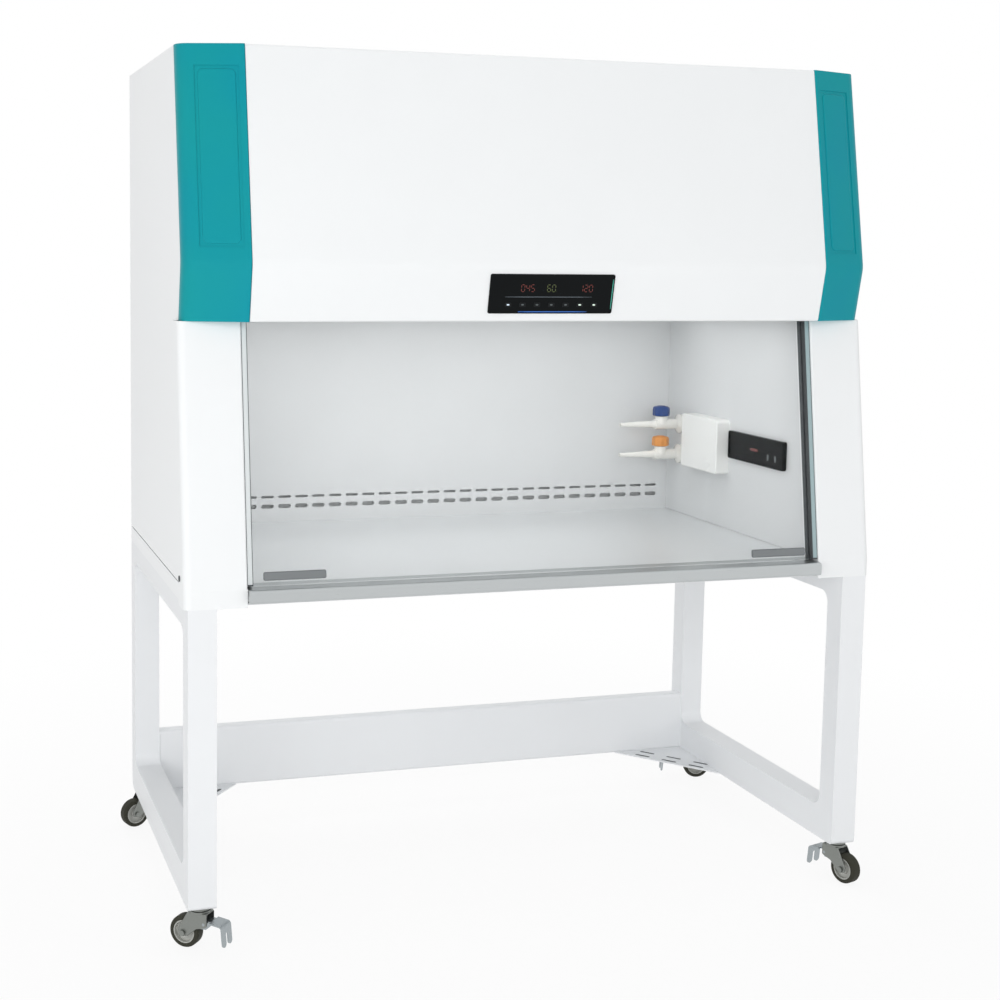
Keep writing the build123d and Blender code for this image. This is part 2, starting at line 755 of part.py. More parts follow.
def inner_wall_right():
    """Side wall of the chamber."""
    low = base_z + base_band_height
    points = [(back_wall_y, low), (back_wall_y, ceiling_z),
              (post_front(ceiling_z) + wall_setback, ceiling_z),
              (post_front(low) + wall_setback, low)]
    return side_prism(points, wall_half, wall_half + sheet)


def diffuser():
    """Slotted ceiling screen under the filter."""
    plate = block(-wall_half, wall_half, ceiling_front, back_wall_y, ceiling_z,
                  ceiling_z + sheet)
    columns = int((2 * wall_half - 2 * diffuser_bar) // diffuser_slot_pitch_x)
    rows = int((back_wall_y - ceiling_front - 2 * diffuser_bar) // diffuser_slot_pitch_y)
    cell_x = diffuser_slot_pitch_x - diffuser_bar
    middle_y = (ceiling_front + back_wall_y) / 2
    cuts = []
    for column in range(columns):
        x = (column - (columns - 1) / 2) * diffuser_slot_pitch_x
        for row in range(rows):
            y = middle_y + (row - (rows - 1) / 2) * diffuser_slot_pitch_y
            cuts.append(Pos(x, y, ceiling_z) * Box(cell_x, diffuser_slot_width, 4 * sheet))
    return plate - cuts


def lamp_trough():
    """White reflector between the sash and the diffuser."""
    top = ceiling_z + trough_height
    points = [(ceiling_front, ceiling_z), (ceiling_front, top),
              (trough_front + trough_height * post_slope, top), (trough_front, ceiling_z)]
    return folded_sheet(points, trough_round, sheet, Side.RIGHT, -wall_half, wall_half)


def lamp_tubes():
    """Fluorescent tube and shorter ultraviolet tube."""
    z = ceiling_z + trough_height - sheet - tube_drop
    tubes = []
    for y, length in zip(tube_y, tube_lengths):
        glass = cylinder_x(tube_radius, -length / 2, length / 2, y, z)
        pins = cylinder_x(tube_pin_radius, -length / 2 - tube_pin, length / 2 + tube_pin, y, z)
        tubes += (glass + pins).solids()
    return Compound(tubes)


def lamp_holders():
    """Sockets at both ends of both tubes."""
    top = ceiling_z + trough_height - sheet
    z = top - tube_drop
    holders = []
    for y, length in zip(tube_y, tube_lengths):
        for end in (-1, 1):
            x = end * (length / 2 + holder_size / 4)
            body = block(x - holder_size / 4, x + holder_size / 4, y - holder_size / 2,
                         y + holder_size / 2, z - holder_size / 4, top)
            body -= cylinder_x(tube_pin_radius, x - holder_size, x + holder_size, y, z)
            holders += body.solids()
    return Compound(holders)


# ---------------------------------------------------------------- air path
def filter_frame_box():
    """Aluminium frame of the main filter."""
    frame = block(-filter_half, filter_half, filter_front, filter_back, filter_z, plenum_z)
    hole = block(-filter_half + filter_frame, filter_half - filter_frame,
                 filter_front + filter_frame, filter_back - filter_frame,
                 filter_z - over, plenum_z + over)
    return frame - hole


def filter_media():
    """Pleated pack inside the frame."""
    half = filter_half - filter_frame
    front, back = filter_front + filter_frame, filter_back - filter_frame
    count = int((back - front) // pleat_pitch)
    pitch = (back - front) / count
    low, high = filter_z + pleat_depth, plenum_z - pleat_depth
    lower = [(front + (i + 0.5 * k) * pitch, low + (pleat_depth / 2) * (1 - k))
             for i in range(count) for k in (0, 1)] + [(back, low + pleat_depth / 2)]
    upper = [(y, high + low - z) for y, z in lower]
    return side_prism(lower + upper[::-1], -half, half)


def plenum_box():
    """Pressure box on the filter, open below, with the blower inlet."""
    box = block(-filter_half, filter_half, filter_front, filter_back, plenum_z, plenum_top)
    hollow = block(-filter_half + sheet, filter_half - sheet, filter_front + sheet,
                   filter_back - sheet, plenum_z - over, plenum_top - sheet)
    hole = block(-blower_inner_width / 2, blower_inner_width / 2, outlet_front(),
                 outlet_front() + outlet_width, plenum_top - 2 * sheet, plenum_top + over)
    return box - hollow - hole


def outlet_front():
    """Front wall of the blower outlet: the volute ends at its widest radius."""
    return blower_y + volute_end - outlet_width


def volute_wire(extra):
    """Scroll in the (y, z) plane: a growing spiral and a straight outlet down."""
    def point(turn):
        radius = volute_start + (volute_end - volute_start) * turn / 270 + extra
        angle = math.radians(-90 - turn)
        return (0, blower_y + radius * math.cos(angle), blower_z + radius * math.sin(angle))
    spiral = Spline(*[point(turn) for turn in range(0, 271, 30)])
    end = spiral @ 1
    start = spiral @ 0
    low = plenum_top
    front = outlet_front() - extra
    outlet = Polyline(tuple(end), (0, end.Y, low), (0, front, low), (0, front, start.Z), tuple(start))
    return Wire(spiral.edges() + outlet.edges())


def blower_housing():
    """Scroll housing with two inlets and a lower flange."""
    half = blower_inner_width / 2 + sheet
    outer = Pos(-half, 0, 0) * Solid.extrude(Face(volute_wire(sheet)), Vector(2 * half, 0, 0))
    inner_half = blower_inner_width / 2
    inner = Pos(-inner_half, 0, 0) * Solid.extrude(Face(volute_wire(0)),
                                                   Vector(2 * inner_half, 0, 0))
    inlets = cylinder_x(inlet_radius, -2 * half, 2 * half, blower_y, blower_z)
    mouth = block(-inner_half, inner_half, outlet_front(), outlet_front() + outlet_width,
                  plenum_top - over, plenum_top + 2 * sheet)
    return outer - inner - inlets - mouth


def blower_motor():
    """Fixed shaft of the outer-rotor motor on a bar across each inlet."""
    reach = blower_inner_width / 2 + sheet
    motor = cylinder_x(shaft_radius, -reach - bracket_bar, reach + bracket_bar,
                       blower_y, blower_z)
    for end in (-1, 1):
        x0, x1 = end * reach, end * (reach + sheet * 2)
        motor += block(x0, x1, blower_y - inlet_radius - bracket_bar,
                       blower_y + inlet_radius + bracket_bar,
                       blower_z - bracket_bar / 2, blower_z + bracket_bar / 2)
    return motor


def impeller():
    """Forward-curved wheel: rotor can, centre disc, blades and end rings."""
    half = impeller_width / 2
    wheel = cylinder_x(motor_radius, -motor_length / 2, motor_length / 2, blower_y, blower_z)
    wheel += cylinder_x(impeller_radius, -sheet / 2, sheet / 2, blower_y, blower_z)
    for end in (-1, 1):
        ring = cylinder_x(impeller_radius, end * half, end * (half - sheet), blower_y, blower_z)
        ring -= cylinder_x(impeller_radius - blade_depth, -half - over, half + over,
                           blower_y, blower_z)
        wheel += ring
    blade = Box(impeller_width, blade_depth - edge_break, blade_thickness)
    middle = impeller_radius - blade_depth / 2
    for index in range(impeller_blades):
        turn = 360 * index / impeller_blades
        wheel += (Pos(0, blower_y, blower_z) * Rot(turn, 0, 0) * Pos(0, middle, 0)
                  * Rot(blade_angle, 0, 0) * blade)
    bore = cylinder_x(shaft_radius + running_gap, -half - over, half + over, blower_y, blower_z)
    return wheel - bore


def inlet_grille():
    """Louvred grille over the roof opening."""
    half_x = roof_opening_x / 2 + grille_frame
    half_y = roof_opening_y / 2 + grille_frame
    middle = roof_opening_centre
    grille = block(-half_x, half_x, middle - half_y, middle + half_y, roof_z, roof_z + sheet)
    hole_x, hole_y = roof_opening_x / 2 - sheet, roof_opening_y / 2 - sheet
    grille += block(-hole_x, hole_x, middle - hole_y, middle + hole_y,
                    roof_z - grille_height, roof_z + sheet)
    grille -= block(-hole_x + sheet, hole_x - sheet, middle - hole_y + sheet,
                    middle + hole_y - sheet, roof_z - 2 * grille_height, roof_z + grille_height)
    pitch = 2 * (hole_y - sheet) / louvre_count
    for index in range(louvre_count):
        y = middle + (index - (louvre_count - 1) / 2) * pitch
        slat = Box(2 * (hole_x - sheet), louvre_depth, louvre_thickness)
        grille += Pos(0, y, roof_z - grille_height / 2) * Rot(louvre_angle, 0, 0) * slat
    return grille


def prefilter_pad():
    """Coarse pad under the grille."""
    half_x = roof_opening_x / 2 - sheet
    half_y = roof_opening_y / 2 - sheet
    top = roof_z - grille_height
    return block(-half_x, half_x, roof_opening_centre - half_y, roof_opening_centre + half_y,
                 top - prefilter_height, top)


# ---------------------------------------------------------------- controls
def display_panel():
    """Black control panel in the bevel: rim outside, body behind."""
    rim = extrude(RectangleRounded(display_width, display_height, display_round),
                  amount=display_thickness / 2)
    rim = chamfer(rim.faces().sort_by(Axis.Z)[-1].edges(), edge_break)
    body = Pos(0, 0, -display_thickness) * Box(
        display_width - 2 * display_rim - seam, display_height - 2 * display_rim - seam,
        2 * display_thickness)
    return bevel_plane().location * (rim + body)


def display_keys():
    """Row of low touch keys on the panel."""
    key = extrude(RectangleRounded(key_width, key_height, key_round), amount=key_proud)
    first = -(key_count - 1) / 2 * key_pitch
    plane = bevel_plane().location
    keys = [plane * Pos(first + index * key_pitch, -key_drop, display_thickness / 2) * key
            for index in range(key_count)]
    return Compound([solid for item in keys for solid in item.solids()])


def service_panel():
    """Black panel on the right wall: bezel round a recessed face."""
    plate = Box(service_panel_thickness, service_panel_length, service_panel_height)
    plate = fillet(plate.edges().filter_by(Axis.X), service_panel_round)
    plate = chamfer(plate.faces().sort_by(Axis.X)[0].edges(), edge_break)
    face = Box(2 * service_recess, service_panel_length - 2 * service_bezel,
               service_panel_height - 2 * service_bezel)
    plate -= Pos(-service_panel_thickness / 2, 0, 0) * face
    y = service_panel_back - service_panel_length / 2
    return Pos(wall_half - service_panel_thickness / 2, y, base_z + service_panel_z) * plate


def service_box():
    """White service box behind the panel."""
    box = Box(service_box_depth, service_box_length, service_box_height)
    box = fillet(box.edges().filter_by(Axis.X), service_box_round)
    box = fillet(box.faces().sort_by(Axis.X)[0].edges(), service_box_round / 3)
    return Pos(wall_half - service_box_depth / 2, service_box_y, base_z + service_box_z) * box


def cock_body(height):
    """Laboratory cock: wall flange, body, valve boss and barbed nozzle."""
    z = base_z + height
    tip = wall_half - cock_body_length - cock_nozzle_length
    outline = [(wall_half, 0), (wall_half, cock_flange_radius),
               (wall_half - cock_flange_height, cock_flange_radius),
               (wall_half - 2 * cock_flange_height, cock_body_radius),
               (wall_half - cock_body_length, cock_body_radius)]
    run = cock_nozzle_length / (2 * cock_barbs)
    for barb in range(cock_barbs):
        radius = cock_barb_radius + (cock_tip_radius - cock_barb_radius) * barb / cock_barbs
        x = wall_half - cock_body_length - 2 * barb * run
        neck = radius - cock_barb_step
        outline += [(x, radius), (x - run, neck), (x - 2 * run, neck)]
    outline += [(tip, cock_tip_radius), (tip, 0)]
    face = Face(Wire.make_polygon([Vector(x, r, 0) for x, r in outline], close=True))
    body = revolve(face, Axis.X)
    body = Pos(0, cock_y, z) * body
    boss_x = wall_half - cock_boss
    body += cylinder_z(cock_boss_radius, boss_x, cock_y, z, z + cock_boss_height)
    body += cylinder_z(cock_stem_radius, boss_x, cock_y, z,
                       z + cock_boss_height + knob_gap + knob_height / 2)
    bore = cylinder_x(cock_bore_radius, tip - over, tip + cock_nozzle_length, cock_y, z)
    return body - bore


def cock_knob(height):
    """Lobed hand knob on the valve stem."""
    low = base_z + height + cock_boss_height + knob_gap
    boss_x = wall_half - cock_boss
    knob = cylinder_z(knob_radius, 0, 0, 0, knob_height)
    for index in range(knob_lobes):
        turn = 2 * math.pi * index / knob_lobes
        reach = knob_radius + knob_lobe_radius / 2
        knob -= cylinder_z(knob_lobe_radius, reach * math.cos(turn), reach * math.sin(turn),
                           -over, knob_height + over)
    knob -= cylinder_z(cock_stem_radius + running_gap, 0, 0, -over, knob_height / 2 + over)
    top = knob.faces().sort_by(Axis.Z)[-1]
    knob = fillet(top.edges(), knob_round)
    return Pos(boss_x, cock_y, low) * knob


# ---------------------------------------------------------------- assembly
def both_sides(shape):
    """A right-hand piece and its mirror image as two solids."""
    return Compound([*shape.solids(), *mirrored(shape).solids()])


def build_nodes():
    """Every sub-part by name."""
    frame, panel, wall = stand_frame_right(), side_panel_right(), inner_wall_right()
    trim, post = trim_right(), post_right()
    nodes = {
        "stand_frame_left": mirrored(frame), "stand_frame_right": frame,
        "rear_crossbar": rear_crossbar(), "corner_gussets": both_sides(gusset_right()),
        "base_tray": base_tray(), "front_sill": front_sill(),
        "work_surface": work_surface(),
        "foot_caps": both_sides(foot_cap_right()),
        "side_panel_left": mirrored(panel), "side_panel_right": panel,
        "rear_panel": rear_panel(), "roof_panel": roof_panel(), "hood_front": hood_front(),
        "trim_left": mirrored(trim), "trim_right": trim,
        "post_left": mirrored(post), "post_right": post,
        "post_plugs": both_sides(post_plug_right()),
        "sash_glass": sash_glass(), "sash_handles": sash_handles(),
        "sash_guides": both_sides(sash_guide_right()),
        "chamber_back_wall": chamber_back_wall(),
        "inner_wall_left": mirrored(wall), "inner_wall_right": wall,
        "diffuser": diffuser(), "lamp_trough": lamp_trough(),
        "lamp_tubes": lamp_tubes(), "lamp_holders": lamp_holders(),
        "filter_frame": filter_frame_box(), "filter_media": filter_media(),
        "plenum_box": plenum_box(), "blower_housing": blower_housing(),
        "blower_motor": blower_motor(), "impeller": impeller(),
        "inlet_grille": inlet_grille(), "prefilter_pad": prefilter_pad(),
        "display_panel": display_panel(), "display_keys": display_keys(),
        "service_panel": service_panel(), "service_box": service_box(),
        "cock_bodies": Compound([s for h in cock_heights for s in cock_body(h).solids()]),
        "cock_knob_blue": cock_knob(cock_heights[0]),
        "cock_knob_orange": cock_knob(cock_heights[1]),
    }
    stem = caster_stem()
    stems = [caster_place(name) * stem for name in caster_angles]
    nodes["caster_stems"] = Compound([s for item in stems for s in item.solids()])
    parts = {"fork": caster_fork(), "tyre": caster_tyre(), "hub": caster_hub(),
             "pedal": caster_pedal()}
    for name in caster_angles:
        for kind, shape in parts.items():
            nodes[f"caster_{name}_{kind}"] = caster_place(name) * shape
    return nodes


def centre_y(nodes):
    """Middle of the whole bench along Y."""
    boxes = [shape.bounding_box() for shape in nodes.values()]
    return (min(box.min.Y for box in boxes) + max(box.max.Y for box in boxes)) / 2


def main():
    """Write one STEP file per sub-part."""
    os.makedirs("parts", exist_ok=True)
    nodes = build_nodes()
    shift = Pos(0, -centre_y(nodes), 0)
    for name, shape in nodes.items():
        export_step(shift * shape, f"parts/{name}.step")
    print(len(nodes), "nodes, moved along Y by", round(-centre_y(nodes), 4))


main()
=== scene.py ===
# %% [markdown]
# # A vertical laminar flow hood
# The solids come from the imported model: this lesson dresses them.  It sets up the
# camera and the light, gives every surface the finish of its real material, and adds
# the small things that solids leave out: display segments, screws, weld seams, caps.

# %% Load the solids
import bpy
import math
import numpy as np
from mathutils import Matrix, Vector


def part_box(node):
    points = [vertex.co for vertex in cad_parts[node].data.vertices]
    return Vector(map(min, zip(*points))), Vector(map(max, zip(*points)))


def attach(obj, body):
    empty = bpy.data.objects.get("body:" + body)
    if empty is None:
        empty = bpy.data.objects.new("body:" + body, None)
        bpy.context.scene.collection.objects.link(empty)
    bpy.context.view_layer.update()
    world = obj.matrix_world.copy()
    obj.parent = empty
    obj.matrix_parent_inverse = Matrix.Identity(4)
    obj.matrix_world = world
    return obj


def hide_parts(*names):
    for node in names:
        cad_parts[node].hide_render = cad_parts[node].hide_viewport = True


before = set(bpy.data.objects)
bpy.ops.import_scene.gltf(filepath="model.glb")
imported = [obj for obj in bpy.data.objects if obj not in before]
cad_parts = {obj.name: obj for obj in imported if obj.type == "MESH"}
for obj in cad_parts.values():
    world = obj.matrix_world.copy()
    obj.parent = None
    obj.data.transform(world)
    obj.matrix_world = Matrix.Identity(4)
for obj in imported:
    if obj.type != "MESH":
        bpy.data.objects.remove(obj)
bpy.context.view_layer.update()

# %% [markdown]
# ## Camera
# The camera stands to the left of the hood, at the height of its window, and looks
# slightly down.  A small lens shift slides the sensor window, so that the hood fills
# the frame.

# %% Camera
SENSOR_MM = 36.0
FOCAL_SHARE = 1.62014          # focal length over image width
CAMERA_PLACE = (-1.2661, -3.3953, 1.3831)       # metres
CAMERA_YAW, CAMERA_PITCH, CAMERA_ROLL = -0.2845, -0.1061, 0.0114     # radians
SHIFT = (0.130, -0.080)        # share of the image width

camera_data = bpy.data.cameras.new("camera")
camera_data.sensor_width = SENSOR_MM
camera_data.lens = FOCAL_SHARE * SENSOR_MM
camera_data.shift_x, camera_data.shift_y = SHIFT
camera = bpy.data.objects.new("camera", camera_data)
bpy.context.scene.collection.objects.link(camera)
turn = (Matrix.Rotation(CAMERA_YAW, 4, "Z") @ Matrix.Rotation(math.pi / 2 + CAMERA_PITCH, 4, "X")
        @ Matrix.Rotation(CAMERA_ROLL, 4, "Z"))
camera.matrix_world = Matrix.Translation(CAMERA_PLACE) @ turn
bpy.context.scene.camera = camera
bpy.context.scene.view_settings.view_transform = "Standard"
print("camera at", CAMERA_PLACE, "lens", round(camera_data.lens, 2))


# %% [markdown]
# ## Node helper and colours
# A material is a small graph.  One function adds a node with its settings and links,
# and one turns a colour given as sRGB hex into the linear values of the shader.

# %% Helpers for materials
def linear(code):
    """sRGB hex to linear RGBA: the inverse of the sRGB transfer curve, channel by channel."""
    share = np.array([int(code[i:i + 2], 16) for i in (1, 3, 5)]) / 255.0
    value = np.where(share <= 0.04045, share / 12.92, ((share + 0.055) / 1.055) ** 2.4)
    return (*value.tolist(), 1.0)


def add_node(tree, kind, inputs=None, **settings):
    """Add a node; an input is a value or the socket of another node."""
    node = tree.nodes.new(kind)
    for name, value in settings.items():
        setattr(node, name, value)
    for name, value in (inputs or {}).items():
        if isinstance(value, bpy.types.NodeSocket):
            tree.links.new(value, node.inputs[name])
        else:
            node.inputs[name].default_value = value
    return node


def new_material(name):
    """Empty node material with its output node."""
    material = bpy.data.materials.new(name)
    material.use_nodes = True
    tree = material.node_tree
    tree.nodes.clear()
    output = add_node(tree, "ShaderNodeOutputMaterial")
    return material, tree, output


def per_mm(size_mm):
    """Texture scale, in cells per metre, for a feature of this size."""
    return 1000.0 / size_mm


def object_place(tree, stretch=(1.0, 1.0, 1.0)):
    """Object coordinates, stretched where a pattern runs along one axis."""
    place = add_node(tree, "ShaderNodeTexCoord")
    mapping = add_node(tree, "ShaderNodeMapping", {"Vector": place.outputs["Object"],
                                                   "Scale": stretch})
    return mapping.outputs["Vector"]


def tone(tree, code, low, high, factor, second=None):
    """Colour that drifts between two shades of one hex value, or towards a second one."""
    base, other = np.array(linear(code)[:3]), np.array(linear(second or code)[:3])
    dark = (*np.clip(base * low, 0, 1).tolist(), 1.0)
    light = (*np.clip(other * high, 0, 1).tolist(), 1.0)
    mix = add_node(tree, "ShaderNodeMix", {"Factor": factor}, data_type="RGBA")
    mix.inputs["A"].default_value = dark
    mix.inputs["B"].default_value = light
    return mix.outputs["Result"]


# %% [markdown]
# ## Two families of finish
# Paint and moulded plastic share one graph: a fine grain that tips the normals, and a
# slow drift in tone and gloss.  Brushed and rolled metals share another: noise that is
# drawn out along the direction of the brush.

# %% Coated and moulded finishes
NOISE_LOW, NOISE_HIGH = 0.3, 0.7        # where most of a noise texture's values lie
DRIFT_MM, CLOUD_MM = 260.0, 180.0       # size of the slow drifts in tone


def coated(name, code, roughness, grain_mm, grain_height_mm, drift=0.03, coat=0.0, ior=1.5,
           specular=0.5, second=None):
    """Paint or plastic: colour, grain bump of a real height, gloss that varies a little.

    A second hex value lets the colour wander slowly towards it.
    """
    material, tree, output = new_material(name)
    place = object_place(tree)
    slow = add_node(tree, "ShaderNodeTexNoise", {"Vector": place, "Scale": per_mm(DRIFT_MM),
                                                 "Detail": 3.0})
    fine = add_node(tree, "ShaderNodeTexNoise", {"Vector": place, "Scale": per_mm(grain_mm),
                                                 "Detail": 4.0, "Roughness": 0.55})
    gloss = add_node(tree, "ShaderNodeMapRange", {
        "Value": slow.outputs["Fac"], "From Min": NOISE_LOW, "From Max": NOISE_HIGH,
        "To Min": roughness * 0.9, "To Max": roughness * 1.1})
    bump = add_node(tree, "ShaderNodeBump", {"Height": fine.outputs["Fac"],
                                             "Distance": grain_height_mm / 1000.0, "Strength": 0.6})
    shader = add_node(tree, "ShaderNodeBsdfPrincipled", {
        "Base Color": tone(tree, code, 1.0 - drift, 1.0, slow.outputs["Fac"], second),
        "Roughness": gloss.outputs["Result"], "Normal": bump.outputs["Normal"],
        "Coat Weight": coat, "Coat Roughness": 0.12, "IOR": ior, "Specular IOR Level": specular})
    tree.links.new(shader.outputs["BSDF"], output.inputs["Surface"])
    return material


# %% Brushed and rolled metals
def brushed(name, code, roughness, line_mm, along, stretch, depth_mm, metallic=1.0):
    """Metal with fine parallel lines: noise drawn out along one axis by the stretch."""
    material, tree, output = new_material(name)
    scale = [1.0, 1.0, 1.0]
    scale["xyz".index(along)] = 1.0 / stretch
    place = object_place(tree, tuple(scale))
    lines = add_node(tree, "ShaderNodeTexNoise", {"Vector": place, "Scale": per_mm(line_mm),
                                                  "Detail": 5.0, "Roughness": 0.6})
    cloud = add_node(tree, "ShaderNodeTexNoise", {"Vector": object_place(tree),
                                                  "Scale": per_mm(CLOUD_MM), "Detail": 2.0})
    gloss = add_node(tree, "ShaderNodeMapRange", {
        "Value": lines.outputs["Fac"], "From Min": NOISE_LOW, "From Max": NOISE_HIGH,
        "To Min": roughness * 0.85, "To Max": roughness * 1.2})
    bump = add_node(tree, "ShaderNodeBump", {"Height": lines.outputs["Fac"],
                                             "Distance": depth_mm / 1000.0, "Strength": 0.5})
    shader = add_node(tree, "ShaderNodeBsdfPrincipled", {
        "Base Color": tone(tree, code, 0.93, 1.0, cloud.outputs["Fac"]), "Metallic": metallic,
        "Roughness": gloss.outputs["Result"], "Normal": bump.outputs["Normal"]})
    tree.links.new(shader.outputs["BSDF"], output.inputs["Surface"])
    return material


# %% [markdown]
# ## Painted steel and moulded trims
# The cabinet is powder-coated sheet steel.  Powder melts into a film with a faint
# orange-peel ripple about 3 mm across, which only shows where a highlight crosses it.

# %% Powder coats and mouldings
powder_white = coated("powder_coat_white", "#F1F3F4", 0.36, 3.0, 0.05)
# The stand's tubes carry the same powder, a shade greyer where hands and shoes touch them.
powder_stand = coated("powder_coat_stand", "#EDEFF1", 0.40, 3.0, 0.06, drift=0.05)
# Side mouldings: ABS with a fine spark-eroded grain, satin, saturated blue-green.
abs_teal = coated("abs_teal", "#058EA6", 0.45, 1.2, 0.03, drift=0.02, specular=0.12,
                  second="#199B97")
# Guide channels and, a shade lighter, the pull bars: glass-filled nylon, a little chalky.
nylon_dark = coated("nylon_dark", "#505456", 0.5, 0.9, 0.04, drift=0.12, specular=0.3)
nylon_grey = coated("nylon_grey", "#7F8385", 0.5, 0.9, 0.04, drift=0.12, specular=0.3)
# Cover strips on the guides: satin PVC in two copies, pale on the left and darker grey-green on the
# right:
# painted light and painted shade, with the green of the glass edge painted into the right one.
pvc_strip_painted_shade = coated("pvc_painted_shade_grey_green", "#9FB4B7", 0.4, 1.5, 0.02, drift=0.06)
pvc_strip_painted_light = coated("pvc_painted_light_pale_grey", "#DDE2E3", 0.4, 1.5, 0.02, drift=0.04)
# Service box and lamp holders: white polycarbonate, smooth from a polished mould.
polycarbonate_white = coated("polycarbonate_white", "#F0F1EF", 0.28, 2.0, 0.01)
# Tap bodies: brass under a thick white epoxy coat.
epoxy_white = coated("epoxy_coated_brass", "#EEEDE8", 0.22, 4.0, 0.04, coat=0.4)
# Tap knobs: ABS in the media colours.
abs_blue = coated("abs_blue", "#2A4680", 0.34, 1.2, 0.02)
abs_orange = coated("abs_orange", "#DB9450", 0.34, 1.2, 0.02)
# Reflector over the tubes and the ceiling screen: smooth white enamel.
enamel_white = coated("enamel_white", "#F3F4F3", 0.3, 5.0, 0.02)
# Castor tread: grey-olive thermoplastic rubber, matt, with a dusty bloom.
rubber_olive = coated("rubber_olive", "#35352C", 0.7, 1.5, 0.08, drift=0.25, specular=0.3)
# Castor hub: grey polypropylene.
polypropylene_grey = coated("polypropylene_grey", "#B4B5B0", 0.48, 1.2, 0.03, drift=0.08)
print("coated finishes ready")

# %% [markdown]
# ## Steel
# The deck and the chamber are stainless sheet with a long grain from the brushing
# belt, so highlights stretch across the grain.  The belt ran along the width.

# %% Metals
stainless_deck = brushed("stainless_brushed_deck", "#F1F3F4", 0.34, 0.5, "x", 60.0, 0.012,
                         metallic=0.55)
stainless_wall = brushed("stainless_brushed_wall", "#E2E4E5", 0.42, 0.6, "z", 60.0, 0.012,
                         metallic=0.15)
# The sill in front of the sash is the same sheet in a darker grey with a plainer polish: the darker
# grey is painted shade on the lip, which turns away from the light under the sash.
stainless_sill_painted_shade = brushed("stainless_brushed_sill_painted_shade", "#C3C7C8", 0.32, 0.5, "x", 60.0, 0.012,
                         metallic=0.85)
# Castor forks and pedals: pressed steel with a thin zinc plate, dull and slightly blue. The forks
# carry it a shade darker and the pedals lighter and bluer: painted shade on the forks, painted
# highlight on the pedals.
zinc_plate = brushed("zinc_plate", "#8E918D", 0.42, 1.6, "z", 2.0, 0.03)
zinc_pedal_painted_highlight = brushed("pedal_zinc_painted_highlight", "#A9B0B3", 0.36, 1.6, "x", 2.0, 0.03)
# Filter frame and blower motor: aluminium, extruded and left bare.
aluminium_bare = brushed("aluminium_extruded", "#CBCDCE", 0.40, 0.8, "x", 40.0, 0.02)


def galvanised_sheet():
    """Hot-dip galvanised steel: zinc crystals, each a flat shade (Voronoi cells)."""
    material, tree, output = new_material("steel_galvanised")
    cells = add_node(tree, "ShaderNodeTexVoronoi", {"Vector": object_place(tree),
                                                    "Scale": per_mm(14.0)})
    shade = add_node(tree, "ShaderNodeSeparateColor", {"Color": cells.outputs["Color"]})
    shader = add_node(tree, "ShaderNodeBsdfPrincipled", {
        "Base Color": tone(tree, "#B9BDBF", 0.78, 1.0, shade.outputs["Red"]), "Metallic": 1.0,
        "Roughness": 0.42})
    tree.links.new(shader.outputs["BSDF"], output.inputs["Surface"])
    return material


galvanised = galvanised_sheet()


# %% [markdown]
# ## Glass
# The sash is a flat toughened pane.  Light meant for the chamber must pass it, so for
# shadow rays the pane is plainly see-through.  Both faces have an anti-glare coat.

# %% Glass
COATED_IOR = 1.14              # an anti-glare coat mirrors less than the bare pane's 1.5


def float_glass():
    """Clear glass with an anti-glare coat; its shadow rays go straight through."""
    material, tree, output = new_material("float_glass")
    shader = add_node(tree, "ShaderNodeBsdfPrincipled", {
        "Base Color": linear("#FEFEFE"), "Roughness": 0.0, "IOR": COATED_IOR,
        "Transmission Weight": 1.0})
    clear = add_node(tree, "ShaderNodeBsdfTransparent", {"Color": linear("#FCFDFD")})
    ray = add_node(tree, "ShaderNodeLightPath")
    mix = add_node(tree, "ShaderNodeMixShader", {0: ray.outputs["Is Shadow Ray"],
                                                 1: shader.outputs["BSDF"], 2: clear.outputs["BSDF"]})
    tree.links.new(mix.outputs["Shader"], output.inputs["Surface"])
    return material


def panel_gloss(name, code, roughness):
    """Black polyester film over a control panel: dark, glossy, faintly uneven."""
    return coated(name, code, roughness, 6.0, 0.008, drift=0.2, specular=0.12)


def opal_tube():
    """Phosphor-coated lamp glass: milky, lets light through, shines a little."""
    material, tree, output = new_material("opal_tube")
    cloud = add_node(tree, "ShaderNodeTexNoise", {"Vector": object_place(tree),
                                                  "Scale": per_mm(40.0)})
    shader = add_node(tree, "ShaderNodeBsdfPrincipled", {
        "Base Color": tone(tree, "#F6F7F5", 0.95, 1.0, cloud.outputs["Fac"]), "Roughness": 0.12,
        "Subsurface Weight": 0.2})
    tree.links.new(shader.outputs["BSDF"], output.inputs["Surface"])
    return material


def filter_paper():
    """Pleated glass-fibre paper: fibres about half a millimetre long."""
    return coated("glass_fibre_paper", "#F2F2EE", 0.85, 0.7, 0.05, drift=0.06)


def coarse_fibre():
    """Washable pre-filter pad: loose polyester fibres in clumps of 3 mm."""
    return coated("polyester_fibre_pad", "#DDDFD8", 0.95, 3.0, 1.2, drift=0.3)


glass = float_glass()
film_black = panel_gloss("polyester_film_black", "#05090B", 0.16)
key_film_black = coated("key_film_black", "#0D1113", 0.3, 2.0, 0.01, specular=0.2)
print("glass and films ready")

# %% [markdown]
# ## Dress the solids
# Each solid keeps its shape and gets its finish.  The table reads like a parts list.

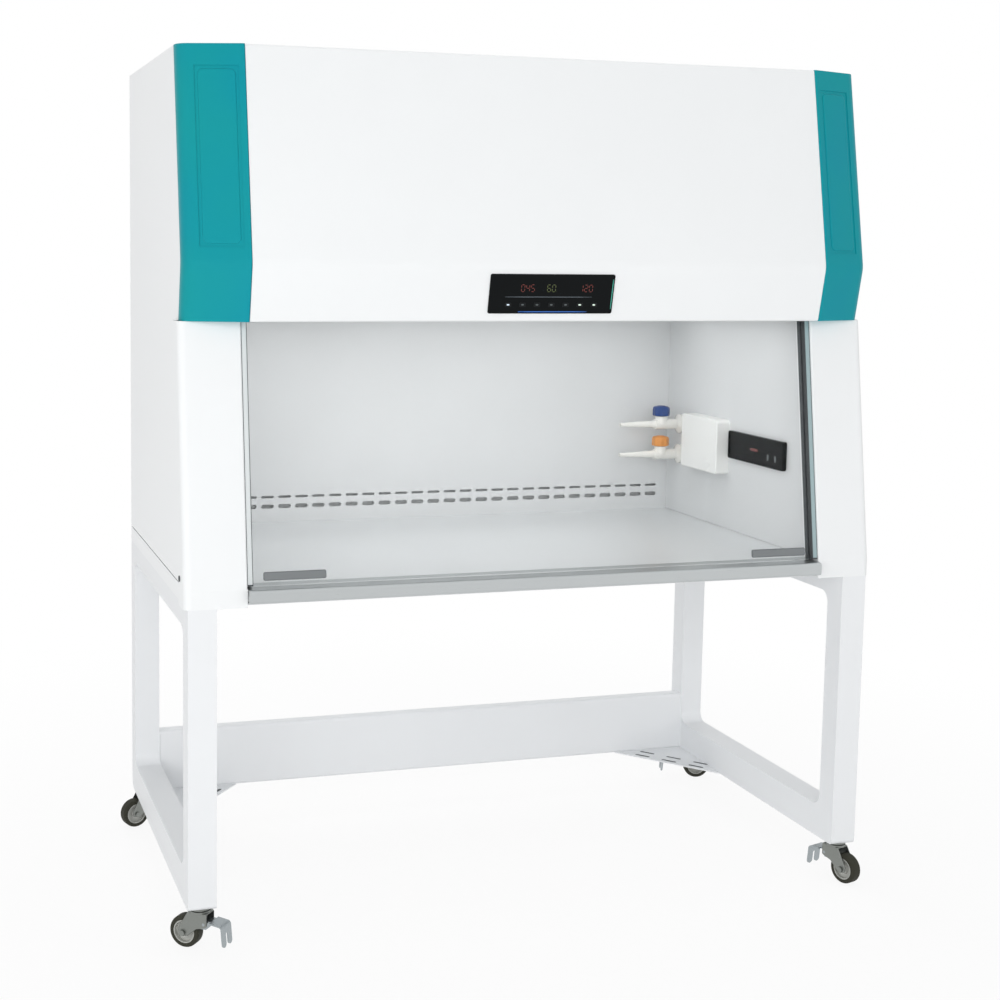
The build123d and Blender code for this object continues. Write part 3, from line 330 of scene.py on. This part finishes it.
# %% Finishes by node
finishes = {
    powder_white: ["base_tray", "foot_caps", "side_panel_left", "side_panel_right", "rear_panel",
                   "roof_panel", "hood_front", "post_left", "post_right", "inlet_grille"],
    powder_stand: ["stand_frame_left", "stand_frame_right", "rear_crossbar", "corner_gussets"],
    abs_teal: ["trim_left", "trim_right"],
    stainless_deck: ["work_surface"],
    stainless_sill_painted_shade: ["front_sill"],
    stainless_wall: ["chamber_back_wall", "inner_wall_left", "inner_wall_right"],
    nylon_dark: ["sash_guides", "post_plugs"],
    nylon_grey: ["sash_handles"],
    glass: ["sash_glass"],
    film_black: ["display_panel", "service_panel"],
    key_film_black: ["display_keys"],
    polycarbonate_white: ["service_box", "lamp_holders"],
    epoxy_white: ["cock_bodies"],
    abs_blue: ["cock_knob_blue"],
    abs_orange: ["cock_knob_orange"],
    enamel_white: ["diffuser", "lamp_trough"],
    opal_tube(): ["lamp_tubes"],
    aluminium_bare: ["filter_frame", "blower_motor"],
    filter_paper(): ["filter_media"],
    coarse_fibre(): ["prefilter_pad"],
    galvanised: ["plenum_box", "blower_housing", "impeller"],
    zinc_plate: ["caster_stems"],
}
casters = ("fl", "fr", "bl", "br")
finishes[zinc_plate] += [f"caster_{c}_fork" for c in casters]
finishes[zinc_pedal_painted_highlight] = [f"caster_{c}_pedal" for c in casters]
finishes[rubber_olive] = [f"caster_{c}_tyre" for c in casters]
finishes[polypropylene_grey] = [f"caster_{c}_hub" for c in casters]


def dress(material, node):
    """Give every slot of a solid this material."""
    solid = bpy.data.objects[node]
    if not solid.material_slots:
        solid.data.materials.append(material)
    for slot in solid.material_slots:
        slot.material = material


for material, nodes in finishes.items():
    for node in nodes:
        dress(material, node)
print("dressed", sum(len(nodes) for nodes in finishes.values()), "solids")


# %% [markdown]
# ## Small pieces as surfaces
# Each small piece is a grid of points given by a formula in two numbers, joined into
# quads.  The grid is laid in its own plane, then carried to its seat by a frame of
# three directions: along, across and out of the surface that carries it.

# %% Surfaces by formula
def grid_faces(rows, columns, closed=True):
    """Quads of a grid of points, whose columns may close into a ring."""
    last = columns if closed else columns - 1
    return [(r * columns + c, r * columns + (c + 1) % columns,
             (r + 1) * columns + (c + 1) % columns, (r + 1) * columns + c)
            for r in range(rows - 1) for c in range(last)]


def close(rings, sides):
    """The two faces that shut a stack of rings, the first looking down and the last up."""
    last = (rings - 1) * sides
    return [tuple(range(sides - 1, -1, -1)), tuple(range(last, last + sides))]


def pad(length, width, height, squareness=0.5, rings=7, sides=32):
    """Low domed button on a superellipse.

    x = (length/2) s C(a),  y = (width/2) s S(a),  z = height (1 - s^6),  1 >= s > 0,
    with C = sgn(cos a) |cos a|^q and S = sgn(sin a) |sin a|^q.
    """
    s = np.linspace(1.0, 0.02, rings)[:, None]
    a = np.linspace(0.0, 2 * np.pi, sides, endpoint=False)[None, :]
    c = np.sign(np.cos(a)) * np.abs(np.cos(a)) ** squareness
    d = np.sign(np.sin(a)) * np.abs(np.sin(a)) ** squareness
    points = np.stack([length / 2 * s * c, width / 2 * s * d, height * (1 - s ** 6) + 0 * a], -1)
    return points.reshape(-1, 3), grid_faces(rings, sides) + close(rings, sides)


def screw_head(radius, height, recess=0.55, rings=12, sides=48):
    """Pan head with a cross recess.

    z = height sqrt(1 - 0.75 s^4) - depth, where the depth is 0.6 height inside the two
    bars |x| < w and |y| < w out to s = recess, with a soft flank one ring wide.
    """
    s = np.linspace(1.0, 0.02, rings)[:, None]
    a = np.linspace(0.0, 2 * np.pi, sides, endpoint=False)[None, :]
    x, y = radius * s * np.cos(a), radius * s * np.sin(a)
    bar = np.minimum(np.abs(x), np.abs(y)) / (0.16 * radius)
    inside = np.clip(1.6 - bar, 0, 1) * np.clip((recess - s) * 8, 0, 1)
    z = height * np.sqrt(1 - 0.75 * s ** 4) - 0.6 * height * inside
    skirt = np.stack([x[:1], y[:1], 0 * y[:1]], -1)
    points = np.concatenate([skirt, np.stack([x, y, z + 0 * x], -1)])
    return points.reshape(-1, 3), grid_faces(rings + 1, sides) + close(rings + 1, sides)


def plate(length, width, radius, profile, sides=32):
    """Rounded rectangle with a moulded edge.

    x = sgn(cos a)(length/2 - radius) + (radius - inset) cos a, y likewise with sin a,
    z = h, for each (inset, h) of the profile from the foot to the face.
    """
    a = (np.arange(sides) + 0.5) * 2 * np.pi / sides
    edge = np.array(profile, float)
    reach = radius - edge[:, :1]
    points = np.stack([np.sign(np.cos(a)) * (length / 2 - radius) + reach * np.cos(a),
                       np.sign(np.sin(a)) * (width / 2 - radius) + reach * np.sin(a),
                       edge[:, 1:] + 0 * a], -1)
    return points.reshape(-1, 3), grid_faces(len(edge), sides) + close(len(edge), sides)


def lobed_knob(radius, height, lobes=8, dip=0.10, sides=96):
    """Hand knob: r = radius p(h) (1 - dip g(h) (1 + cos(lobes a)) / 2), fluted by g."""
    rings = np.array([(0.30, 0.0, 0), (0.88, 0.0, 0.6), (0.97, 0.03, 1), (1.0, 0.10, 1),
                      (1.0, 0.70, 1), (0.97, 0.84, 0.9), (0.88, 0.94, 0.6), (0.70, 0.99, 0.2),
                      (0.45, 1.0, 0), (0.03, 1.0, 0)])
    a = np.linspace(0.0, 2 * np.pi, sides, endpoint=False)[None, :]
    r = radius * rings[:, :1] * (1 - dip * rings[:, 2:] * (1 + np.cos(lobes * a)) / 2)
    points = np.stack([r * np.cos(a), r * np.sin(a), height * rings[:, 1:2] + 0 * a], -1)
    return points.reshape(-1, 3), grid_faces(len(rings), sides) + close(len(rings), sides)


def turned(profile, sides=40):
    """Turned part: x = r cos a, y = r sin a, z = h for each (r, h) of the profile."""
    outline = np.array(profile, float)
    a = np.linspace(0.0, 2 * np.pi, sides, endpoint=False)
    points = np.stack([outline[:, :1] * np.cos(a), outline[:, :1] * np.sin(a),
                       outline[:, 1:] + 0 * a], -1)
    return points.reshape(-1, 3), grid_faces(len(outline), sides) + close(len(outline), sides)


def bead(length, radius, ripple, pitch, sides=10):
    """Weld bead along x, half sunk: r = radius (1 + ripple cos(2 pi x / pitch)).

    Its ends are pinched, and each ripple has six rings.
    """
    count = int(length / pitch * 6)
    x = np.linspace(-length / 2, length / 2, count)[:, None]
    a = np.linspace(0.0, 2 * np.pi, sides, endpoint=False)[None, :]
    end = np.clip((length / 2 - np.abs(x)) / radius, 0.05, 1.0) ** 0.5
    r = radius * end * (1 + ripple * np.cos(2 * np.pi * x / pitch))
    points = np.stack([x + 0 * a, r * np.cos(a), r * np.sin(a)], -1)
    return points.reshape(-1, 3), grid_faces(count, sides) + close(count, sides)


def unit(vector):
    """The vector at length one."""
    return np.array(vector, float) / np.linalg.norm(vector)


def lay(surface, place, along, up, out):
    """Carry a surface to its seat by three directions, which may be skewed."""
    points, faces = surface
    return points @ np.stack([unit(along), unit(up), unit(out)]) + np.array(place, float), faces


def seat(surface, place, along, out):
    """Carry a surface to its seat, its up direction square to the other two."""
    return lay(surface, place, along, np.cross(unit(out), unit(along)), out)


def make_piece(name, surfaces, material, body):
    """Join seated surfaces into one object that rides on a body."""
    points, faces, start = [], [], 0
    for some, quads in surfaces:
        points.append(some)
        faces += [tuple(start + index for index in quad) for quad in quads]
        start += len(some)
    mesh = bpy.data.meshes.new(name)
    mesh.from_pydata(np.concatenate(points).tolist(), [], faces)
    mesh.validate()
    mesh.shade_smooth()
    mesh.materials.append(material)
    piece = bpy.data.objects.new(name, mesh)
    bpy.context.scene.collection.objects.link(piece)
    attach(piece, body)
    print(name, len(faces), "faces")
    return piece


# %% [markdown]
# ## Control panel
# The bevel carries a black film with lit segments behind it.  A seven-segment digit
# is seven slim pads; which of them are lit follows from the number.

# %% Lit materials
def lit(name, code, glow):
    """Printed or lit mark: a grainy ink in its colour, with a faint glow."""
    material, tree, output = new_material(name)
    grain = add_node(tree, "ShaderNodeTexNoise", {"Vector": object_place(tree),
                                                  "Scale": per_mm(0.8)})
    shader = add_node(tree, "ShaderNodeBsdfPrincipled", {
        "Base Color": tone(tree, code, 0.85, 1.0, grain.outputs["Fac"]), "Roughness": 0.3,
        "Emission Color": linear(code), "Emission Strength": glow})
    tree.links.new(shader.outputs["BSDF"], output.inputs["Surface"])
    return material


lit_red = lit("segment_red", "#6B2F29", 0.18)
lit_olive = lit("segment_olive", "#525A34", 0.2)
lit_blue = lit("light_line_blue", "#2F63B4", 0.3)
lit_teal = lit("light_edge_teal", "#3FA08C", 0.35)
print_grey = lit("film_print_grey", "#6F7880", 0.1)
icon_blue = lit("key_icon_bluish", "#D5E4F2", 0.5)
icon_grey = lit("key_icon_grey", "#5B6264", 0.1)
icon_green = lit("key_icon_greenish", "#D9EBDD", 0.5)

# %% Where the panel lies
MODEL_SHIFT = -0.3756924                         # the solids' move along Y
BEVEL_LOW = np.array([0.0, 0.029 + MODEL_SHIFT, 1.238])
BEVEL_HIGH = np.array([0.0, 0.005 + MODEL_SHIFT, 1.351])
bevel_up = (BEVEL_HIGH - BEVEL_LOW) / np.linalg.norm(BEVEL_HIGH - BEVEL_LOW)
bevel_out = np.cross((1, 0, 0), bevel_up)
FILM_LEVEL, KEY_LEVEL = 0.0030, 0.0036           # film face and key tops above the bevel


def on_panel(surface, x_mm, up_mm, level, tilt=0.0):
    """Seat a surface on the control panel at millimetres from its middle."""
    place = ((BEVEL_LOW + BEVEL_HIGH) / 2 + np.array([x_mm / 1000, 0, 0])
             + bevel_up * up_mm / 1000 + bevel_out * level)
    along = math.cos(tilt) * np.array([1.0, 0, 0]) + math.sin(tilt) * bevel_up
    return seat(surface, place, along, bevel_out)


# %% Digits
SEGMENTS = {"0": "abcdef", "1": "bc", "2": "abged", "3": "abgcd", "4": "fgbc", "5": "afgcd",
            "6": "afgedc", "7": "abc", "8": "abcdefg", "9": "abcdfg"}
DIGIT_WIDTH, DIGIT_HEIGHT, BAR = 7.0, 14.0, 1.7    # millimetres
DIGIT_ROW = 12                                     # millimetres above the panel's middle
BAR_HEIGHT = 0.00025                               # metres


def digit(symbol, x_mm, up_mm):
    """Lit bars of one digit, upright ones turned a quarter."""
    half_w, half_h = DIGIT_WIDTH / 2, DIGIT_HEIGHT / 2
    spots = {"a": (0, half_h, 0), "g": (0, 0, 0), "d": (0, -half_h, 0),
             "f": (-half_w, half_h / 2, 1), "b": (half_w, half_h / 2, 1),
             "e": (-half_w, -half_h / 2, 1), "c": (half_w, -half_h / 2, 1)}
    bar = pad((DIGIT_WIDTH - BAR) / 1000, BAR / 1000, BAR_HEIGHT, 0.6, 4, 16)
    return [on_panel(bar, x_mm + dx, up_mm + dy, FILM_LEVEL, up * math.pi / 2)
            for dx, dy, up in (spots[key] for key in SEGMENTS[symbol])]


def number(text, x_mm, up_mm):
    """Row of digits, one and a half digit widths apart."""
    return [part for index, symbol in enumerate(text)
            for part in digit(symbol, x_mm + index * DIGIT_WIDTH * 1.5, up_mm)]


make_piece("display_digits_left", number("045", -64, DIGIT_ROW), lit_red, "cabinet")
make_piece("display_digits_middle", number("60", -8, DIGIT_ROW), lit_olive, "cabinet")
make_piece("display_digits_right", number("120", 62, DIGIT_ROW), lit_red, "cabinet")
# Printed rule and the two light guides: name, finish, length, width, height, then its place.
for tag, shade, size, spot in (("rule", print_grey, (0.188, 0.0012, 0.0002), (-7, -6)),
                               ("light_line", lit_blue, (0.150, 0.0022, 0.0004), (4, -36.5)),
                               ("light_edge", lit_teal, (0.0018, 0.062, 0.0003), (130.6, 0))):
    line = pad(*size, squareness=0.3, rings=3, sides=24)
    make_piece(f"display_{tag}", [on_panel(line, *spot, FILM_LEVEL)], shade, "cabinet")

# %% Key icons
KEY_PITCH, KEY_DROP = 31.0, -22.0
icon = pad(0.0062, 0.0030, 0.0003, 0.8, 4, 20)
for tag, shade, keys in (("first", icon_blue, (-3,)), ("middle", icon_grey, (-2, -1, 0, 1)),
                         ("last", icon_green, (2, 3))):
    spots = [on_panel(icon, key * KEY_PITCH, KEY_DROP, KEY_LEVEL) for key in keys]
    make_piece(f"key_icons_{tag}", spots, shade, "cabinet")

# %% [markdown]
# ## Service wall
# The right wall has a black switch panel with three lit marks, and two taps whose
# knobs end in a small domed cap held by a collar.

# %% Marks on the switch panel
panel_low, panel_high = (np.array(corner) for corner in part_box("service_panel"))


def on_switch_panel(surface, back_share, up_share):
    """Seat a surface on the recessed face of the switch panel, by shares of its size."""
    place = (panel_low[0] + 0.002, panel_low[1] + back_share * (panel_high[1] - panel_low[1]),
             panel_low[2] + up_share * (panel_high[2] - panel_low[2]))
    return seat(surface, place, (0, -1, 0), (-1, 0, 0))


MARK_HEIGHT = 0.0006
wide_mark = pad(0.034, 0.006, MARK_HEIGHT, 0.6)
tall_mark = pad(0.007, 0.015, MARK_HEIGHT, 0.6)
make_piece("switch_mark_red", [on_switch_panel(wide_mark, 0.52, 0.50)], lit_red, "cabinet")
make_piece("switch_marks_white", [on_switch_panel(tall_mark, share, 0.34) for share in (0.27, 0.14)],
           icon_grey, "cabinet")

# %% Tap knobs and caps
KNOB_RADIUS, CAP_ROOM, CAP_SUNK = 0.0212, 0.0020, 0.0022
CAP_PROFILE = [(0.0105, 0.0), (0.0105, 0.0009), (0.0098, 0.0014), (0.0092, 0.0010),
               (0.0084, 0.0012), (0.0060, 0.0018), (0.0030, 0.0021), (0.0003, 0.0022)]
upright = ((1, 0, 0), (0, 0, 1))                 # along and out of a level face
for tint, body, finish, slot in (("blue", "blue_knob", abs_blue, "knob_blue"),
                                 ("orange", "orange_knob", abs_orange, "knob_orange")):
    low, high = (np.array(corner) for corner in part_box(f"cock_knob_{tint}"))
    foot = ((low + high) / 2)[:2].tolist() + [low[2]]
    knob = lobed_knob(KNOB_RADIUS, high[2] - low[2] - CAP_ROOM)
    turned_knob = make_piece(f"knob_{tint}", [seat(knob, foot, *upright)], finish, body)
    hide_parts(f"cock_knob_{tint}")
    crown = foot[:2] + [high[2] - CAP_SUNK]
    cap = turned(CAP_PROFILE)
    make_piece(f"knob_cap_{tint}", [seat(cap, crown, *upright)], finish, body)

# %% [markdown]
# ## Trim panels and guide strips
# The slanted face of each moulding has a shallow pocket.  A flush panel with softly
# rounded corners fills it and leaves a groove all round.  The guides of the sash carry
# a cover strip on the side that faces the user.

# %% Trim panels
TRIM_CORNER = np.array([0.617, 0.002 + MODEL_SHIFT, 1.351])    # inner edge of the face at the crease
TRIM_ACROSS, TRIM_UP = np.array([0.125, 0.046, 0.0]), np.array([0.0, 0.078, 0.418])
POCKET_ACROSS, POCKET_UP = (0.014, 0.1012), (0.030, 0.376)
POCKET_DEPTH, GROOVE, CORNER = 0.0016, 0.0065, 0.011
pocket_middle = (TRIM_CORNER + unit(TRIM_ACROSS) * sum(POCKET_ACROSS) / 2
                 + TRIM_UP / TRIM_UP[2] * sum(POCKET_UP) / 2)
pocket_length = (POCKET_UP[1] - POCKET_UP[0]) * np.linalg.norm(TRIM_UP) / TRIM_UP[2]
EDGE_MOULD = [(0.0, 0.0), (0.0003, 0.0007), (0.0012, 0.0012), (0.0026, 0.00145), (0.0045, 0.0015)]
panel = plate(POCKET_ACROSS[1] - POCKET_ACROSS[0] - 2 * GROOVE, pocket_length - 2 * GROOVE,
              CORNER, EDGE_MOULD)
trim_out = np.cross(TRIM_ACROSS, TRIM_UP)
for side, tag in ((-1, "left"), (1, "right")):
    flip = np.array([side, 1, 1])
    place = (pocket_middle - unit(trim_out) * POCKET_DEPTH) * flip
    laid = lay(panel, place, side * TRIM_ACROSS * flip, TRIM_UP, trim_out * flip)
    make_piece(f"trim_inset_{tag}", [laid], abs_teal, "cabinet")

# %% Guide strips
SASH_FOOT = np.array([0.0, 0.017 + MODEL_SHIFT, 0.723])        # glass front at the sill
sash_up = unit((0.0, 0.074, 0.515))
sash_out = np.cross((1, 0, 0), sash_up)
GUIDE_X, GUIDE_FRONT, STRIP_START = 0.619, 0.012, 0.006
STRIP_LENGTH, STRIP_WIDTH, STRIP_CORNER = 0.535, 0.0095, 0.0015
strip = plate(STRIP_WIDTH, STRIP_LENGTH, STRIP_CORNER,
              [(0.0, 0.0), (0.0001, 0.0005), (0.0008, 0.0009)], 16)
for side, tag, shade in ((-1, "left", pvc_strip_painted_light), (1, "right", pvc_strip_painted_shade)):
    place = (SASH_FOOT + (side * GUIDE_X, 0, 0) + sash_up * (STRIP_START + STRIP_LENGTH / 2)
             + sash_out * GUIDE_FRONT)
    make_piece(f"guide_strip_{tag}", [seat(strip, place, (1, 0, 0), sash_out)], shade, "cabinet")

# %% [markdown]
# ## Slots in painted shade
# The corner plates of the stand have three pairs of slots. Each is closed from below by a dark
# plate that stands in for the shade seen through the slot: painted shade.

# %% Slots in painted shade
GUSSET_CORNER, GUSSET_Z, SLOT_SHADE_LEVEL = (0.685, 0.722 + MODEL_SHIFT), 0.087, 0.0016
REACH_X, REACH_Y = 0.186, 0.222
SLOT_PITCH, SLOT_ROWS = 0.073, (0.014, 0.044)
edge_run = unit((REACH_X, -REACH_Y, 0.0))
inward = unit((REACH_Y, REACH_X, 0.0))
edge_middle = np.array([GUSSET_CORNER[0] - REACH_X / 2, GUSSET_CORNER[1] - REACH_Y / 2, GUSSET_Z])
# Dark plate under each slot: painted shade, not a part of the stand.
slot_shade_plate = plate(0.0394, 0.0084, 0.004, [(0.0, 0.0), (0.0, 0.0010), (0.0004, 0.0012)], 16)
slot_shade_plates = []
for column in (-1, 0, 1):
    for row in SLOT_ROWS:
        spot = (edge_middle + edge_run * column * SLOT_PITCH + inward * row
                + np.array([0, 0, SLOT_SHADE_LEVEL]))
        slot_shade_plates += [seat(slot_shade_plate, spot * mirror, edge_run * mirror, (0, 0, 1))
                   for mirror in ((1, 1, 1), (-1, 1, 1))]
make_piece("gusset_slots_painted_shade", slot_shade_plates, nylon_dark, "cabinet")

# %% [markdown]
# ## Fasteners
# Sheet panels are held by pan-head screws with a cross recess, evenly pitched along
# their folds: round the rear skin, along the roof and round the air grille.

# %% Screws
zinc_bright = brushed("zinc_screw_plate", "#C2C4C2", 0.32, 0.6, "x", 2.0, 0.01)
EDGE, VENT_EDGE, VENT_END = 0.014, 0.01, 0.1    # screw centres from the sheets' edges
HEAD, SMALL_HEAD = screw_head(0.0045, 0.0024), screw_head(0.0036, 0.0018)


def along_row(start, end, count):
    """Points at even steps from start to end."""
    return [np.array(start) + (np.array(end) - np.array(start)) * index / (count - 1)
            for index in range(count)]


rear_low, rear_high = (np.array(corner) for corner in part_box("rear_panel"))
left, right = rear_low[0] + EDGE, rear_high[0] - EDGE
low, high = rear_low[2] + EDGE, rear_high[2] - EDGE
rows = (along_row((left, low), (right, low), 8) + along_row((left, high), (right, high), 8)
        + along_row((left, low), (left, high), 6)[1:-1]
        + along_row((right, low), (right, high), 6)[1:-1])
make_piece("screws_rear", [seat(HEAD, (x, rear_high[1], z), (1, 0, 0), (0, 1, 0)) for x, z in rows],
           zinc_bright, "cabinet")
roof_low, roof_high = (np.array(corner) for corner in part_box("roof_panel"))
left, right = roof_low[0] + EDGE, roof_high[0] - EDGE
near, far = roof_low[1] + EDGE, roof_high[1] - EDGE
rows = (along_row((left, near), (left, far), 5) + along_row((right, near), (right, far), 5)
        + along_row((left, far), (right, far), 9)[1:-1])
make_piece("screws_roof", [seat(HEAD, (x, y, roof_high[2]), *upright) for x, y in rows],
           zinc_bright, "cabinet")
vent_low, vent_high = (np.array(corner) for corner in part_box("inlet_grille"))
rows = []
for y in (vent_low[1] + VENT_EDGE, vent_high[1] - VENT_EDGE):
    rows += along_row((vent_low[0] + EDGE, y), (vent_high[0] - EDGE, y), 6)
for x in (vent_low[0] + VENT_EDGE, vent_high[0] - VENT_EDGE):
    rows += along_row((x, vent_low[1] + VENT_END), (x, vent_high[1] - VENT_END), 2)
make_piece("screws_grille", [seat(SMALL_HEAD, (x, y, vent_high[2]), *upright) for x, y in rows],
           zinc_bright, "cabinet")

# %% [markdown]
# ## Welds and lamp caps
# Where the cross-channel meets the rear legs there is a short painted weld, its ripples
# about 3 mm apart.  Lamp tubes end in aluminium caps.

# %% Welds
bar_low, bar_high = (np.array(corner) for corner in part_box("rear_crossbar"))
BEAD_RADIUS, BEAD_RIPPLE, BEAD_PITCH, BEAD_SHORT, BEAD_SUNK = 0.0022, 0.12, 0.003, 0.016, 0.0002
weld = bead(bar_high[2] - bar_low[2] - BEAD_SHORT, BEAD_RADIUS, BEAD_RIPPLE, BEAD_PITCH)
weld_z = (bar_low[2] + bar_high[2]) / 2
welds = [seat(weld, (x, bar_low[1] + BEAD_SUNK, weld_z), (0, 0, 1), (0, -1, 0))
         for x in (bar_low[0], bar_high[0])]
make_piece("weld_beads_crossbar", welds, powder_stand, "cabinet")

# %% Lamp caps
tube_low, tube_high = (np.array(corner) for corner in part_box("lamp_tubes"))
TUBE_RADIUS, CAP_LENGTH = 0.013, 0.016
sleeve = turned([(TUBE_RADIUS + 0.0001, 0.0), (TUBE_RADIUS + 0.0005, 0.0004),
                 (TUBE_RADIUS + 0.0005, CAP_LENGTH - 0.001), (TUBE_RADIUS, CAP_LENGTH - 0.0003),
                 (TUBE_RADIUS - 0.001, CAP_LENGTH), (0.0045, CAP_LENGTH)])
TUBES = ((0.134 + MODEL_SHIFT, 0.599), (0.166 + MODEL_SHIFT, 0.447))     # axis y, half length
tube_z = (tube_low[2] + tube_high[2]) / 2
caps = [seat(sleeve, (side * (half - CAP_LENGTH + 0.0002), y, tube_z), (0, 1, 0), (side, 0, 0))
        for y, half in TUBES for side in (-1, 1)]
make_piece("lamp_end_caps", caps, aluminium_bare, "cabinet")


# %% [markdown]
# ## Stage and light
# A pale studio: a floor that keeps a soft shadow, and broad lamps from the left front,
# the right and above, so that white sheet steel shows its folds without clipping.

# %% Rays that look
def looking(tree):
    """Light paths and a 1 for rays from the camera, from mirrors and through glass."""
    ray = add_node(tree, "ShaderNodeLightPath")
    seen = add_node(tree, "ShaderNodeMath", {
        0: ray.outputs["Is Camera Ray"], 1: ray.outputs["Is Transmission Ray"]},
        operation="MAXIMUM")
    both = add_node(tree, "ShaderNodeMath", {0: seen.outputs[0], 1: ray.outputs["Is Glossy Ray"]},
                    operation="MAXIMUM")
    return ray, both.outputs[0]


# %% Floor
FLOOR_HALF = 14.0
NEAR_GLOW, FAR_GLOW = 0.90, 1.0    # share of plain white that the camera sees in the floor
NEAR_REACH, FAR_REACH = 0.9, 2.4   # metres from the middle over which it fades to white


def stage_floor():
    """White floor: one square face, seen partly as plain white."""
    mesh = bpy.data.meshes.new("floor")
    corners = np.array([(-1, -1, 0), (1, -1, 0), (1, 1, 0), (-1, 1, 0)], float) * FLOOR_HALF
    mesh.from_pydata(corners.tolist(), [], [(0, 1, 2, 3)])
    floor = bpy.data.objects.new("floor", mesh)
    bpy.context.scene.collection.objects.link(floor)
    material, tree, output = new_material("studio_floor")
    matt = add_node(tree, "ShaderNodeBsdfDiffuse", {"Color": linear("#F4F4F4")})
    glow = add_node(tree, "ShaderNodeEmission", {"Color": (1, 1, 1, 1), "Strength": 1.0})
    ray, both = looking(tree)
    place = add_node(tree, "ShaderNodeTexCoord")
    reach = add_node(tree, "ShaderNodeVectorMath", {0: place.outputs["Object"]}, operation="LENGTH")
    fade = add_node(tree, "ShaderNodeMapRange", {
        "Value": reach.outputs["Value"], "From Min": NEAR_REACH, "From Max": FAR_REACH,
        "To Min": NEAR_GLOW, "To Max": FAR_GLOW}, interpolation_type="SMOOTHSTEP")
    share = add_node(tree, "ShaderNodeMath", {0: both, 1: fade.outputs["Result"]},
                     operation="MULTIPLY")
    mix = add_node(tree, "ShaderNodeMixShader", {0: share.outputs[0], 1: matt.outputs["BSDF"],
                                                 2: glow.outputs["Emission"]})
    # From underneath the floor is clear, so that the casters and gussets can be looked at.
    below = add_node(tree, "ShaderNodeNewGeometry")
    clear = add_node(tree, "ShaderNodeBsdfTransparent")
    hidden = add_node(tree, "ShaderNodeMath", {0: below.outputs["Backfacing"],
                                               1: ray.outputs["Is Camera Ray"]}, operation="MULTIPLY")
    sided = add_node(tree, "ShaderNodeMixShader", {0: hidden.outputs[0], 1: mix.outputs["Shader"],
                                                   2: clear.outputs["BSDF"]})
    tree.links.new(sided.outputs["Shader"], output.inputs["Surface"])
    mesh.materials.append(material)


stage_floor()


# %% World and lamps
WORLD_STRENGTH = 0.42


def studio_world():
    """Even pale surroundings; the camera, mirrors and glass see plain white."""
    world = bpy.data.worlds.new("studio")
    world.use_nodes = True
    tree = world.node_tree
    tree.nodes.clear()
    both = looking(tree)[1]
    strength = add_node(tree, "ShaderNodeMapRange", {"Value": both, "To Min": WORLD_STRENGTH,
                                                     "To Max": 1.0})
    back = add_node(tree, "ShaderNodeBackground", {"Color": (1, 1, 1, 1),
                                                   "Strength": strength.outputs["Result"]})
    output = add_node(tree, "ShaderNodeOutputWorld")
    tree.links.new(back.outputs["Background"], output.inputs["Surface"])
    bpy.context.scene.world = world


def soft_lamp(name, place, target, size, power):
    """Area lamp that looks from its place at the target; only what it lights is seen."""
    data = bpy.data.lights.new(name, "AREA")
    data.shape = "RECTANGLE"
    data.size, data.size_y = size
    data.energy = power
    lamp = bpy.data.objects.new(name, data)
    lamp.location = place
    lamp.visible_glossy = False
    lamp.visible_camera = False
    lamp.visible_transmission = False
    lamp.rotation_euler = (Vector(target) - Vector(place)).to_track_quat("-Z", "Y").to_euler()
    bpy.context.scene.collection.objects.link(lamp)


studio_world()
middle = (0.0, 0.0, 1.0)
# Each lamp: its place and what it faces, its size in metres, its power in watts.
soft_lamp("key", (-1.4, -5.2, 2.2), middle, (3.4, 2.4), 76.0)
soft_lamp("fill", (4.6, -3.0, 2.0), middle, (3.0, 3.0), 18.0)
soft_lamp("side", (-4.6, -2.2, 1.6), middle, (3.0, 3.0), 50.0)
soft_lamp("low", (-1.7, -3.8, 0.7), (0.6, 0.0, 0.4), (2.4, 1.0), 14.0)
soft_lamp("low_right", (2.4, -3.6, 0.6), (0.75, 0.0, 0.35), (1.6, 0.9), 9.0)
soft_lamp("chamber", (0.0, 0.0, 1.235), (0.0, 0.0, 0.7), (1.15, 0.5), 2.3)
soft_lamp("duct", (0.0, 0.3855, 1.15), (0.0, 0.3855, 0.7), (1.2, 0.02), 0.5)
soft_lamp("top", (0.3, 0.4, 4.6), (0.0, 0.0, 1.2), (3.4, 2.4), 45.0)
soft_lamp("rear", (-1.0, 4.6, 2.6), middle, (3.0, 2.4), 70.0)
print("stage and lamps ready")
